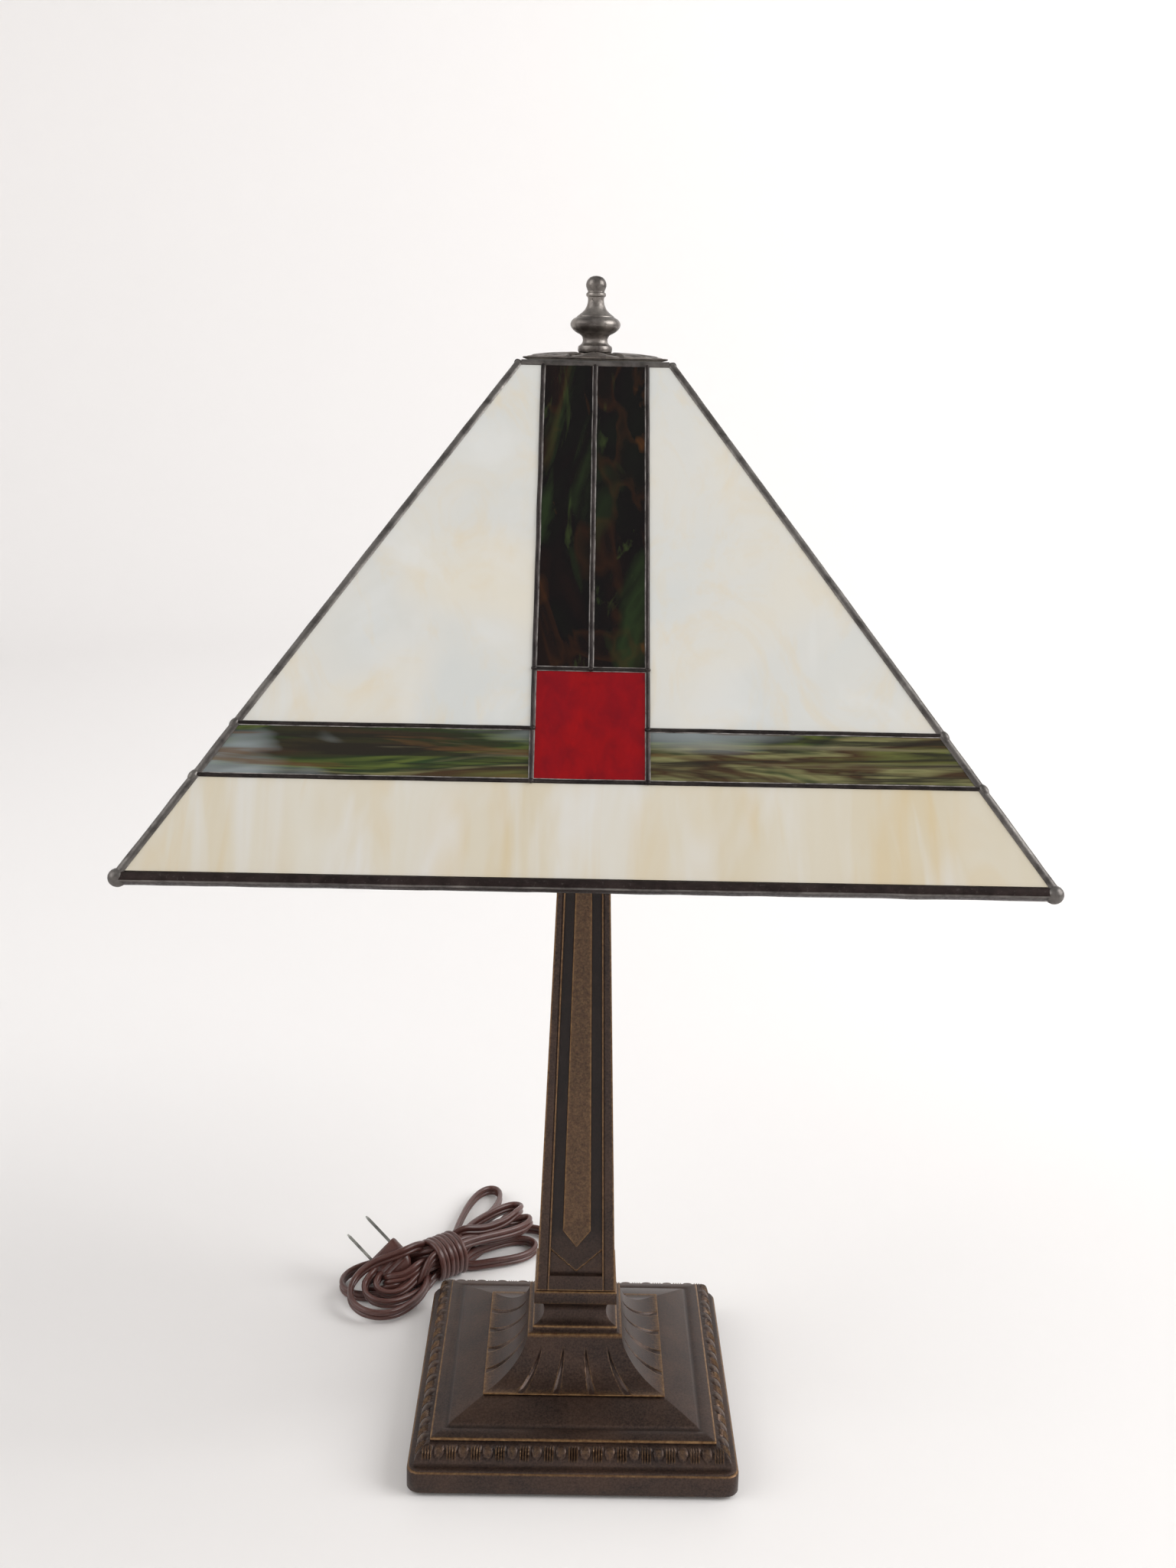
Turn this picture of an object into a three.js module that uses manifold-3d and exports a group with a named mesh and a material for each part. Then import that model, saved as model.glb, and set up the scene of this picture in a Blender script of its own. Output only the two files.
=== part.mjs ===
// A table lamp with a leaded glass shade: a cast square base, a tapered column, a harp that carries
// the four-sided shade, a socket with its bulb, and a flat two-wire cord put away in a hank.
// Millimetres, +Z up. The origin is at the middle of the base's underside, and the front is -Y.
import * as THREE from 'three';
import { mergeVertices } from 'three/addons/utils/BufferGeometryUtils.js';
import Module from 'manifold-3d';

const wasm = await Module();
wasm.setup();

// ---------------------------------------------------------------- driving dimensions
const GAP = 0.3; // clearance between touching pieces

// Shade: a square pyramid cut off at the top, measured to the outside of its glass
const SHADE = { rimHalf: 152.4, rimZ: 296.3, topHalf: 28.2, topZ: 460.6 };
const GLASS = 3; // thickness of a pane
const SEAM_HALF = 0.7; // half the width of a soldered seam
const SEAM_PROUD = 0.5; // how far a seam stands out of the glass
const HIP_R = 1.5; // radius of the solder along a corner of the shade
const RIM_HALF_HEIGHT = 1.8;
const BALL_R = 3.2;
const COLUMN_HALF = 19.3; // middle column of panes, to its side seams
const ROWS = { band: 35.9, bandTop: 55.1, squareTop: 77.4 }; // seams, measured up the slope from the rim

// Vent cap and finial
const CAP = { half: 27.2, r: 26.2, crownR: 8.4, bore: 4.2, bottom: 460.7, plate: 461.4, top: 463.2 };
const VENTS = { count: 8, inner: 11, outer: 23, halfWidth: 2.4 };
const FINIAL_Z = 463.5;

// Base
const PLINTH = { half: 69.8, corner: 5.5, bottom: 1.3, step: 10.5, top: 11.9 };
const FELT = { half: 66.5, top: 1 };
const PANEL = { edgeHalf: 60.4, edgeZ: 20.9, borderHalf: 53.3, borderZ: 22.8, topHalf: 40.2, topZ: 27 };
const EGGS_PER_SIDE = 12;
const BASE_HOLLOW = [[0, 0], [62.5, 0], [62.5, 11.6], [57, 15], [36, 20.5], [0, 20.5]]; // half width, height
const BORE_R = 5.6; // passage for the threaded pipe

// Column
const FOOT = { lipHalf: 39.3, lipZ: 28.2, topHalf: 20.8, topZ: 45.2 };
const FLUTE = { halfWidth: 1.2, top: 41.5, directions: [0.2, 0.6] };
const COVE = { middle: 53.4, halfHeight: 5.2, depth: 4.1, edgeHalf: 17.8 };
const BLOCK = { half: 18.1, bottom: 58.7, top: 64.6 };
const POST = { bottom: 64.9, top: 262, halfBottom: 17.3, halfTop: 10.7 };
const SUNK = { depth: 1.4, share: 0.72, fromEnd: 7 }; // the sunk panel of each face of the post
const STRAP = { point: 22, shoulder: 30, halfBottom: 6.7, narrowing: 0.0172, below: 0.35 };
const CHEVRON = { point: 9.5, rise: 9.1, half: 10, width: 1.5, depth: 0.6 };
const POST_CAP_TOP = 266.4;

// Lamp pipe, harp and socket
const PIPE = { r: 5.1, bore: 3.4, bottom: 12, top: 277 };
const SADDLE = { z: 270.1, thickness: 1.8, half: 28, width: 12, shoulder: 281, tip: 288 };
const HARP = { wireR: 1.6, seatR: 6.5, studR: 3.1, seatBottom: 455.5, seatTop: 460.3 };
const FERRULE = { x: 29.2, r: 4.5, bore: 3.6, bottom: 281.4, height: 13 };
const SOCKET = { bottom: 272.3, capTop: 286, shellTop: 329, knobZ: 294 };
const BULB = { baseBottom: 305.5, baseTop: 331, top: 409, r: 30 };

// Cord: flat, two wires side by side
const CORD = { width: 5.4, thickness: 2.7 };
const EXIT = { z: 6.3, holeR: 3.8, flangeR: 4.9, sleeveEnd: 91 };
const HANK = { left: [-106, 75], right: [-43, 135], r: 25, height: 20 };
const SIDE_LOOP = { from: [-60, 118], to: [-49, 178], r: 12 };
const PLUG = { face: [-99.5, 90, 19], width: 18.6, thickness: 8.6, length: 20 };
const PLUG_OUT = [-0.719, 0.288, 0.633]; // the way its blades point
const PLUG_SPREAD = [0.686, 0.439, 0.58]; // from one blade to the other
const BLADE = { spacing: 12.7, length: 17.5, width: 6.35, thickness: 1.5 };

// ---------------------------------------------------------------- materials
const paint = (color, roughness, metalness = 0) =>
  new THREE.MeshStandardMaterial({ color, roughness, metalness });

// ---------------------------------------------------------------- geometry helpers
function solid(geometry) {
  const bare = geometry.index ? geometry.clone() : geometry;
  bare.deleteAttribute('normal');
  bare.deleteAttribute('uv');
  const merged = mergeVertices(bare, 1e-3);
  const index = merged.index.array;
  const kept = [];
  for (let i = 0; i < index.length; i += 3) {
    const [a, b, c] = [index[i], index[i + 1], index[i + 2]];
    if (a !== b && b !== c && c !== a) kept.push(a, b, c);
  }
  return new wasm.Manifold(new wasm.Mesh({
    numProp: 3,
    vertProperties: new Float32Array(merged.attributes.position.array),
    triVerts: new Uint32Array(kept),
  }));
}

function geometryOf(manifold) {
  const mesh = manifold.getMesh();
  const geometry = new THREE.BufferGeometry();
  geometry.setAttribute('position', new THREE.BufferAttribute(mesh.vertProperties, 3));
  geometry.setIndex(new THREE.BufferAttribute(mesh.triVerts, 1));
  geometry.computeVertexNormals();
  return geometry;
}

const join = (solids) => solids.reduce((sum, one) => sum.add(one));
const cut = (body, tools) => tools.reduce((rest, tool) => rest.subtract(tool), body);

// A turned piece: profile points are [radius, height], from the axis back to the axis or closed
function turned(profile, segments = 28, phase = 0) {
  const points = profile.map(([r, z]) => new THREE.Vector2(r, z));
  return new THREE.LatheGeometry(points, segments, phase).rotateX(Math.PI / 2);
}

// The same with square sections: profile points are [half the width, height]
function squared(profile) {
  return turned(profile.map(([half, z]) => [half * Math.SQRT2, z]), 4, Math.PI / 4);
}

function cylinder(r, bottom, top, segments = 24) {
  return turned([[0, bottom], [r, bottom], [r, top], [0, top]], segments);
}

function ring(inner, outer, bottom, top, segments = 28) {
  return turned([[inner, bottom], [outer, bottom], [outer, top], [inner, top], [inner, bottom]], segments);
}

function box(low, high) {
  const size = high.map((value, i) => value - low[i]);
  const middle = high.map((value, i) => (value + low[i]) / 2);
  return new THREE.BoxGeometry(...size).translate(...middle);
}

function outline(points) {
  return new THREE.Shape(points.map(([x, y]) => new THREE.Vector2(x, y)));
}

function slab(shape, bottom, top, curveSegments = 3) {
  const depth = top - bottom;
  return new THREE.ExtrudeGeometry(shape, { depth, bevelEnabled: false, curveSegments })
    .translate(0, 0, bottom);
}

function roundedSquare(half, corner) {
  const shape = new THREE.Shape();
  const straight = half - corner;
  shape.absarc(straight, straight, corner, 0, Math.PI / 2);
  shape.absarc(-straight, straight, corner, Math.PI / 2, Math.PI);
  shape.absarc(-straight, -straight, corner, Math.PI, 1.5 * Math.PI);
  shape.absarc(straight, -straight, corner, 1.5 * Math.PI, 2 * Math.PI);
  return shape;
}

// A slot with round ends between two points
function stadium([x0, y0], [x1, y1], r) {
  const along = Math.atan2(y1 - y0, x1 - x0);
  const shape = new THREE.Shape();
  shape.absarc(x1, y1, r, along - Math.PI / 2, along + Math.PI / 2);
  shape.absarc(x0, y0, r, along + Math.PI / 2, along + 1.5 * Math.PI);
  return shape;
}

// A bar from one point to another, with a section of four or eight sides; width lies along `across`
function bar(from, to, halfWidth, halfHeight, across, sides = 8) {
  const a = new THREE.Vector3(...from);
  const b = new THREE.Vector3(...to);
  const along = b.clone().sub(a);
  const length = along.length();
  along.normalize();
  const side = new THREE.Vector3(...across);
  side.addScaledVector(along, -side.dot(along)).normalize();
  const up = new THREE.Vector3().crossVectors(along, side);
  const corners = [];
  const reach = 1 / Math.cos(Math.PI / sides);
  for (let i = 0; i < sides; i += 1) {
    const angle = (i + 0.5) * ((2 * Math.PI) / sides);
    corners.push([halfWidth * reach * Math.cos(angle), halfHeight * reach * Math.sin(angle)]);
  }
  const frame = new THREE.Matrix4().makeBasis(side, up, along).setPosition(a);
  return slab(outline(corners), 0, length).applyMatrix4(frame);
}

// ---------------------------------------------------------------- scene graph
const lamp = new THREE.Group();
lamp.name = 'stained_glass_table_lamp';

function addPart(name, geometry, material, parent = lamp) {
  const mesh = new THREE.Mesh(geometry, material);
  mesh.name = name;
  parent.add(mesh);
  return mesh;
}

// ---------------------------------------------------------------- shade
const run = SHADE.rimHalf - SHADE.topHalf;
const rise = SHADE.topZ - SHADE.rimZ;
const slope = Math.atan2(rise, run);
const slant = Math.hypot(run, rise);
const hipAt = (s) => SHADE.rimHalf - s * Math.cos(slope);

// In a side's own frame x runs along the rim, y up the slope and z out of the glass
function sideMatrix(turn, half, z, lean) {
  const around = new THREE.Matrix4().makeRotationZ((turn * Math.PI) / 2);
  const out = new THREE.Matrix4().makeTranslation(0, -half, z);
  return around.multiply(out).multiply(new THREE.Matrix4().makeRotationX(lean));
}
const shadeSide = (turn) => sideMatrix(turn, SHADE.rimHalf, SHADE.rimZ, slope);

// The corner line of the shade at mid-glass, and how far a pane keeps away from the outer corner line
const hipMid = (s) => hipAt(s) - GLASS / 2 / Math.sin(slope) + (GLASS / 2) * Math.cos(slope) * (run / rise);
const hipShift = (hipAt(0) - hipMid(0)) + (HIP_R + GAP) / Math.cos(Math.atan(Math.cos(slope)));

const SIDE_NAMES = ['front', 'right', 'back', 'left'];
const rimTop = RIM_HALF_HEIGHT + GAP;
const collarS = slant - 1.7; // the collar seam along the top edge
const paneTop = collarS - SEAM_HALF - GAP;
const inset = SEAM_HALF + GAP;

function paneShape(bottom, top, leftOf, rightOf) {
  return outline([
    [leftOf(bottom), bottom], [rightOf(bottom), bottom],
    [rightOf(top), top], [leftOf(top), top],
  ]);
}

const hipRight = (s) => hipAt(s) - hipShift;
const hipLeft = (s) => -hipRight(s);
const at = (x) => () => x;
const columnEdge = COLUMN_HALF - inset;
const outerEdge = COLUMN_HALF + inset;
const bandLow = ROWS.band + inset;
const bandHigh = ROWS.bandTop - inset;
const squareHigh = ROWS.squareTop - inset;

const CREAM = () => paint(0xe6e4da, 0.25);
const BEIGE = () => paint(0xd9d2bd, 0.25);
const DARK = () => paint(0x2a1d20, 0.15);
const RED = () => paint(0x8c1020, 0.2);
const GREEN = () => paint(0x5f6b46, 0.2);

const PANES = [
  ['lower', BEIGE, rimTop, ROWS.band - inset, hipLeft, hipRight],
  ['band_a', GREEN, bandLow, bandHigh, hipLeft, at(-outerEdge)],
  ['band_b', GREEN, bandLow, bandHigh, at(outerEdge), hipRight],
  ['square', RED, bandLow, squareHigh, at(-columnEdge), at(columnEdge)],
  ['dark_a', DARK, ROWS.squareTop + inset, paneTop, at(-columnEdge), at(-inset)],
  ['dark_b', DARK, ROWS.squareTop + inset, paneTop, at(inset), at(columnEdge)],
  ['cream_a', CREAM, ROWS.bandTop + inset, paneTop, hipLeft, at(-outerEdge)],
  ['cream_b', CREAM, ROWS.bandTop + inset, paneTop, at(outerEdge), hipRight],
];

SIDE_NAMES.forEach((side, turn) => {
  for (const [pane, glass, bottom, top, left, right] of PANES) {
    const geometry = slab(paneShape(bottom, top, left, right), -GLASS, 0);
    addPart(`glass_${side}_${pane}`, geometry, glass()).applyMatrix4(shadeSide(turn));
  }
});

// Solder: every seam of the four sides, the four corners and the collar, in one piece
const solderHalf = GLASS / 2 + SEAM_PROUD;
const hipStart = RIM_HALF_HEIGHT + 3;

function seamBars() {
  const mid = -GLASS / 2;
  const level = (s) => [[-hipMid(s), s, mid], [hipMid(s), s, mid]];
  const upright = (x, s) => [[x, s, mid], [x, collarS, mid]];
  const [left, right] = level(ROWS.bandTop);
  return [
    level(ROWS.band),
    [left, [-COLUMN_HALF, ROWS.bandTop, mid]],
    [[COLUMN_HALF, ROWS.bandTop, mid], right],
    [[-COLUMN_HALF, ROWS.squareTop, mid], [COLUMN_HALF, ROWS.squareTop, mid]],
    upright(-COLUMN_HALF, ROWS.band),
    upright(COLUMN_HALF, ROWS.band),
    upright(0, ROWS.squareTop),
    level(collarS),
  ];
}

function solderFramework() {
  const bars = [];
  for (let turn = 0; turn < 4; turn += 1) {
    const place = shadeSide(turn);
    for (const [from, to] of seamBars()) {
      const flat = Math.abs(to[0] - from[0]) > Math.abs(to[1] - from[1]);
      const across = flat ? [0, 1, 0] : [1, 0, 0];
      bars.push(solid(bar(from, to, SEAM_HALF, solderHalf, across, 4).applyMatrix4(place)));
    }
    const low = [hipMid(hipStart), hipStart, -GLASS / 2];
    const high = [hipMid(collarS), collarS, -GLASS / 2];
    bars.push(solid(bar(low, high, HIP_R, HIP_R, [0, 0, 1]).applyMatrix4(place)));
  }
  return join(bars);
}
addPart('solder_framework', geometryOf(solderFramework()), paint(0x4a4142, 0.45, 0.8));

// Rim: a folded channel round the lower edge of the glass, with a ball of solder at each corner
function rimChannel() {
  const pieces = [];
  const end = hipMid(0) - 0.5;
  for (let turn = 0; turn < 4; turn += 1) {
    const place = shadeSide(turn);
    const from = [-end, 0, -GLASS / 2];
    const to = [end, 0, -GLASS / 2];
    pieces.push(solid(bar(from, to, RIM_HALF_HEIGHT, solderHalf + 0.3, [0, 1, 0]).applyMatrix4(place)));
    const ball = new THREE.SphereGeometry(BALL_R, 10, 6).translate(end, 0, -GLASS / 2);
    pieces.push(solid(ball.applyMatrix4(place)));
  }
  return join(pieces);
}
addPart('rim_channel', geometryOf(rimChannel()), paint(0x3a2f2d, 0.45, 0.8));

// Vent cap: a square plate under a low dome, pierced by leaf-shaped vents
function ventCap() {
  const { half, bottom, plate: plateTop } = CAP;
  const plate = solid(squared([[0, bottom], [half, bottom], [half, plateTop], [0, plateTop]]));
  const dome = [[0, CAP.plate - 0.3], [CAP.r, CAP.plate - 0.3]];
  const steps = 4;
  for (let i = 0; i <= steps; i += 1) {
    const r = CAP.r + (CAP.crownR - CAP.r) * (i / steps);
    const fall = ((r - CAP.crownR) / (CAP.r - CAP.crownR)) ** 2;
    dome.push([r, CAP.top - (CAP.top - CAP.plate - 0.4) * fall]);
  }
  dome.push([0, CAP.top]);
  const vents = [];
  for (let i = 0; i < VENTS.count; i += 1) {
    const leaf = new THREE.Shape();
    const middle = (VENTS.inner + VENTS.outer) / 2;
    leaf.moveTo(VENTS.inner, 0);
    leaf.quadraticCurveTo(middle, -2 * VENTS.halfWidth, VENTS.outer, 0);
    leaf.quadraticCurveTo(middle, 2 * VENTS.halfWidth, VENTS.inner, 0);
    const angle = ((i + 0.5) * 2 * Math.PI) / VENTS.count;
    vents.push(solid(slab(leaf, CAP.bottom - 1, CAP.top + 1, 4).rotateZ(angle)));
  }
  vents.push(solid(cylinder(CAP.bore, CAP.bottom - 1, CAP.top + 1)));
  return cut(plate.add(solid(turned(dome, 24))), vents);
}
addPart('vent_cap', geometryOf(ventCap()), paint(0x6b6460, 0.45, 0.85));

// Finial, with the threaded hole for the harp's stud; heights are measured from its foot
const FINIAL = [
  [6.2, 0], [6.6, 0.5], [6.6, 2.2], [6.1, 2.7], [5.1, 3.6], [4.8, 4.8], [5.2, 6.1], [6.3, 7], [6.6, 7.2],
  [7.1, 7.5], [8.7, 8.5], [9.5, 9.6], [9.7, 10.6], [9.4, 11.6], [8.5, 12.6], [7.3, 13.2], [6.9, 13.8],
  [4.8, 15.4], [3.7, 17], [3.1, 18.8], [3.1, 20.2], [3.7, 21.1], [3.7, 22], [3.1, 22.6], [3.5, 23.4],
  [3.9, 24.6], [3.9, 25.6], [3.4, 26.9], [2.2, 28.1], [0, 28.6],
];
const FINIAL_BORE = { r: 3.5, depth: 9.5 };
const finialHole = [[0, FINIAL_BORE.depth], [FINIAL_BORE.r, FINIAL_BORE.depth], [FINIAL_BORE.r, 0]];
const finialProfile = [...finialHole, ...FINIAL].map(([r, h]) => [r, FINIAL_Z + h]);
addPart('finial', turned(finialProfile, 18), paint(0x6e6962, 0.4, 0.9));

// ---------------------------------------------------------------- base
addPart('felt_pad', slab(roundedSquare(FELT.half, PLINTH.corner), 0, FELT.top), paint(0x2f3a2c, 1));

// Quarter-round moulding between the plinth and the panel, with a row of ovals along each side
const OVOLO = { outHalf: 66.6, bottom: 12.6, inHalf: 61.3, top: 19.5 };
const ovoloAt = (t) => [
  OVOLO.inHalf + (OVOLO.outHalf - OVOLO.inHalf) * Math.cos((t * Math.PI) / 2),
  OVOLO.bottom + (OVOLO.top - OVOLO.bottom) * Math.sin((t * Math.PI) / 2),
];

function eggs(turn) {
  const pitch = (2 * OVOLO.inHalf) / EGGS_PER_SIDE;
  const [half, z] = ovoloAt(0.5);
  const place = sideMatrix(turn, half - 0.5, z - 0.5, Math.PI / 4);
  const ovals = [];
  for (let i = 0; i < EGGS_PER_SIDE; i += 1) {
    const oval = new THREE.SphereGeometry(1, 6, 4).scale(pitch * 0.33, 3.4, 1.7);
    oval.translate((i + 0.5 - EGGS_PER_SIDE / 2) * pitch, 0, 0);
    ovals.push(solid(oval.applyMatrix4(place)));
  }
  return ovals;
}

function baseCasting() {
  const plinth = solid(slab(roundedSquare(PLINTH.half, PLINTH.corner), PLINTH.bottom, PLINTH.step));
  const cap = solid(slab(roundedSquare(PLINTH.half - 0.8, PLINTH.corner), PLINTH.step - 0.5, PLINTH.top));
  const upper = [[0, PLINTH.top - 1], [OVOLO.outHalf, PLINTH.top - 1]];
  for (let i = 0; i <= 4; i += 1) upper.push(ovoloAt(i / 4));
  upper.push([PANEL.edgeHalf, OVOLO.top], [PANEL.edgeHalf, PANEL.edgeZ - 0.3]);
  upper.push([PANEL.edgeHalf - 0.4, PANEL.edgeZ], [PANEL.borderHalf, PANEL.borderZ]);
  upper.push([PANEL.topHalf, PANEL.topZ], [0, PANEL.topZ]);
  const hollow = squared(BASE_HOLLOW);
  const bore = cylinder(BORE_R, 0, PANEL.topZ + 1);
  const cordHole = cylinder(EXIT.holeR, 55, 75, 16).rotateX(-Math.PI / 2).translate(0, 0, EXIT.z);
  const whole = join([plinth, cap, solid(squared(upper)), ...[0, 1, 2, 3].flatMap(eggs)]);
  return cut(whole, [hollow, bore, cordHole].map(solid));
}
const BRONZE = () => paint(0x3b3029, 0.42, 0.85);
addPart('base_casting', geometryOf(baseCasting()), BRONZE());

// ---------------------------------------------------------------- column
// Foot: a flared square skirt with four flutes a side, a fillet, a cove and the block under the post
function flareProfile(shrink) {
  const points = [[0, PANEL.topZ + GAP], [FOOT.lipHalf - shrink, PANEL.topZ + GAP]];
  const steps = 8;
  for (let i = 0; i <= steps; i += 1) {
    const t = (i / steps) * (Math.PI / 2);
    const half = FOOT.topHalf + (FOOT.lipHalf - FOOT.topHalf) * (1 - Math.sin(t)) ** 0.86;
    const z = FOOT.topZ - (FOOT.topZ - FOOT.lipZ) * Math.cos(t) ** 0.95;
    points.push([half - shrink, z]);
  }
  return points;
}

function columnFoot() {
  const coveLow = COVE.middle - COVE.halfHeight;
  const neck = [[18.6, FOOT.topZ + 0.3], [18.4, coveLow - 0.5], [COVE.edgeHalf, coveLow]];
  const steps = 8;
  for (let i = 1; i < steps; i += 1) {
    const angle = (i / steps) * Math.PI;
    const z = COVE.middle - COVE.halfHeight * Math.cos(angle);
    neck.push([COVE.edgeHalf - COVE.depth * Math.sin(angle), z]);
  }
  neck.push([BLOCK.half, BLOCK.bottom], [BLOCK.half, BLOCK.top - 0.4]);
  neck.push([BLOCK.half - 0.4, BLOCK.top], [0, BLOCK.top]);
  const outer = solid(squared([...flareProfile(0), ...neck]));
  const inner = solid(squared([...flareProfile(1), [0, FOOT.topZ]]));
  const flutes = [];
  for (const fraction of FLUTE.directions) {
    for (const sign of [-1, 1]) {
      for (const quarter of [0, Math.PI / 2]) {
        const groove = box([-FLUTE.halfWidth, -60, 20], [FLUTE.halfWidth, 60, FLUTE.top]);
        flutes.push(solid(groove.rotateZ(quarter + sign * Math.atan(fraction))));
      }
    }
  }
  const bore = solid(cylinder(BORE_R, 20, BLOCK.top + 1));
  return cut(cut(outer, flutes).add(inner), [bore]);
}
addPart('column_foot', geometryOf(columnFoot()), BRONZE());

// Post: each face has a sunk panel, a raised strap with a pointed end, and a chevron cut below it
const postHeight = POST.top - POST.bottom;
const taper = (POST.halfBottom - POST.halfTop) / postHeight;
const postHalf = (h) => POST.halfBottom - taper * h;

function postFace(turn) {
  const place = sideMatrix(turn, POST.halfBottom, POST.bottom, Math.PI / 2 - Math.atan(taper));
  const low = SUNK.fromEnd;
  const top = postHeight - SUNK.fromEnd;
  const end = top + 2;
  const clear = 5; // how far the cutting shapes stand out of the face
  const panelHalf = (h) => postHalf(h) * SUNK.share;
  const strapHalf = (h) => STRAP.halfBottom - STRAP.narrowing * h;
  const panel = outline([
    [-panelHalf(low), low], [panelHalf(low), low], [panelHalf(top), top], [-panelHalf(top), top],
  ]);
  const { point, shoulder } = STRAP;
  const strap = outline([
    [0, point], [strapHalf(shoulder), shoulder], [strapHalf(end), end], [-strapHalf(end), end],
    [-strapHalf(shoulder), shoulder],
  ]);
  const arm = CHEVRON.point + CHEVRON.rise;
  const chevron = outline([
    [0, CHEVRON.point], [CHEVRON.half, arm], [CHEVRON.half, arm + CHEVRON.width],
    [0, CHEVRON.point + CHEVRON.width], [-CHEVRON.half, arm + CHEVRON.width], [-CHEVRON.half, arm],
  ]);
  return {
    panel: solid(slab(panel, -SUNK.depth, clear).applyMatrix4(place)),
    strap: solid(slab(strap, -SUNK.depth - 1, -STRAP.below).applyMatrix4(place)),
    chevron: solid(slab(chevron, -SUNK.depth - CHEVRON.depth, clear).applyMatrix4(place)),
  };
}

function columnPost() {
  const faces = [0, 1, 2, 3].map(postFace);
  const shaft = solid(squared([
    [0, POST.bottom], [POST.halfBottom, POST.bottom], [POST.halfTop, POST.top], [0, POST.top],
  ]));
  const sunk = cut(shaft, faces.map((face) => face.panel));
  const strapped = join([sunk, ...faces.map((face) => face.strap)]);
  const bore = solid(cylinder(BORE_R, POST.bottom - 1, POST.top + 1));
  return cut(strapped, [...faces.map((face) => face.chevron), bore]);
}
addPart('column_post', geometryOf(columnPost()), BRONZE());

function columnCap() {
  const low = POST.top + GAP;
  const plate = squared([
    [0, low], [12.4, low], [13, low + 0.6], [13, low + 2.6], [11.2, POST_CAP_TOP], [0, POST_CAP_TOP],
  ]);
  return cut(solid(plate), [solid(cylinder(BORE_R, low - 1, POST_CAP_TOP + 1))]);
}
addPart('column_cap', geometryOf(columnCap()), BRONZE());

// ---------------------------------------------------------------- pipe and its fastenings
const STEEL = () => paint(0x9a9a96, 0.4, 0.9);
const BRASS = () => paint(0x9c8452, 0.35, 0.9);
addPart('threaded_pipe', ring(PIPE.bore, PIPE.r, PIPE.bottom, PIPE.top, 20), STEEL());
addPart('bottom_washer', ring(PIPE.r + GAP, 14, 18.6, 20.2, 20), STEEL());

function hexNut(acrossHalf, bottom, top) {
  const outer = cylinder(acrossHalf / Math.cos(Math.PI / 6), bottom, top, 6);
  return cut(solid(outer), [solid(cylinder(PIPE.r + GAP, bottom - 1, top + 1, 20))]);
}
addPart('bottom_nut', geometryOf(hexNut(8, 13.5, 18.3)), STEEL());
addPart('lock_nut', geometryOf(hexNut(8, POST_CAP_TOP + GAP, SADDLE.z - GAP)), BRASS());

// ---------------------------------------------------------------- harp
// Saddle: a strip across the pipe whose turned-up ends narrow to tips inside the ferrules
function harpSaddle() {
  const { z, thickness, half, width, shoulder, tip } = SADDLE;
  const strip = box([-half, -width / 2, z], [half, width / 2, z + thickness]);
  const pieces = [solid(strip)];
  for (const side of [-1, 1]) {
    const x = [side * half, side * (half - 1.4)].sort((a, b) => a - b);
    pieces.push(solid(box([x[0], -width / 2, z], [x[1], width / 2, shoulder])));
    pieces.push(solid(box([x[0], -1.6, shoulder - 1], [x[1], 1.6, tip])));
  }
  return cut(join(pieces), [solid(cylinder(PIPE.r + GAP, z - 1, z + thickness + 1, 20))]);
}
addPart('harp_saddle', geometryOf(harpSaddle()), BRASS());

const HARP_HALF = [
  [30, 281.4], [30, 292], [30, 304], [30.6, 318], [37, 334], [45.5, 350], [50.5, 370], [51, 390],
  [46.5, 412], [37.5, 432], [26, 446], [12, 455], [0, 457.4],
];

function harpGeometry() {
  const right = HARP_HALF.map(([x, z]) => new THREE.Vector3(x, 0, z));
  const left = HARP_HALF.slice(0, -1).reverse().map(([x, z]) => new THREE.Vector3(-x, 0, z));
  const path = new THREE.CatmullRomCurve3([...right, ...left], false, 'centripetal');
  const section = new THREE.Shape();
  section.absarc(0, 0, HARP.wireR, 0, 2 * Math.PI);
  const wire = new THREE.ExtrudeGeometry(section, {
    steps: 48, bevelEnabled: false, extrudePath: path, curveSegments: 4,
  });
  const studTop = FINIAL_Z + FINIAL_BORE.depth - 1;
  const seat = turned([
    [0, HARP.seatBottom], [HARP.seatR - 1, HARP.seatBottom], [HARP.seatR, HARP.seatBottom + 1],
    [HARP.seatR, HARP.seatTop], [HARP.studR, HARP.seatTop], [HARP.studR, studTop], [0, studTop],
  ], 20);
  return geometryOf(solid(wire).add(solid(seat)));
}
addPart('harp', harpGeometry(), BRASS());

for (const [name, side] of [['harp_ferrule_left', -1], ['harp_ferrule_right', 1]]) {
  const sleeve = ring(FERRULE.bore, FERRULE.r, 0, FERRULE.height, 20);
  addPart(name, sleeve, BRASS()).position.set(side * FERRULE.x, 0, FERRULE.bottom);
}

// ---------------------------------------------------------------- socket
addPart('socket_cap', turned([
  [PIPE.r + GAP, SOCKET.bottom], [9, SOCKET.bottom], [13, 274.2], [16, 278], [16.6, 281],
  [16.6, SOCKET.capTop], [15.8, SOCKET.capTop], [15.8, 281.4], [15.2, 278.6], [12.5, 275.2],
  [PIPE.r + GAP, 273.5], [PIPE.r + GAP, SOCKET.bottom],
]), BRASS());

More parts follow.
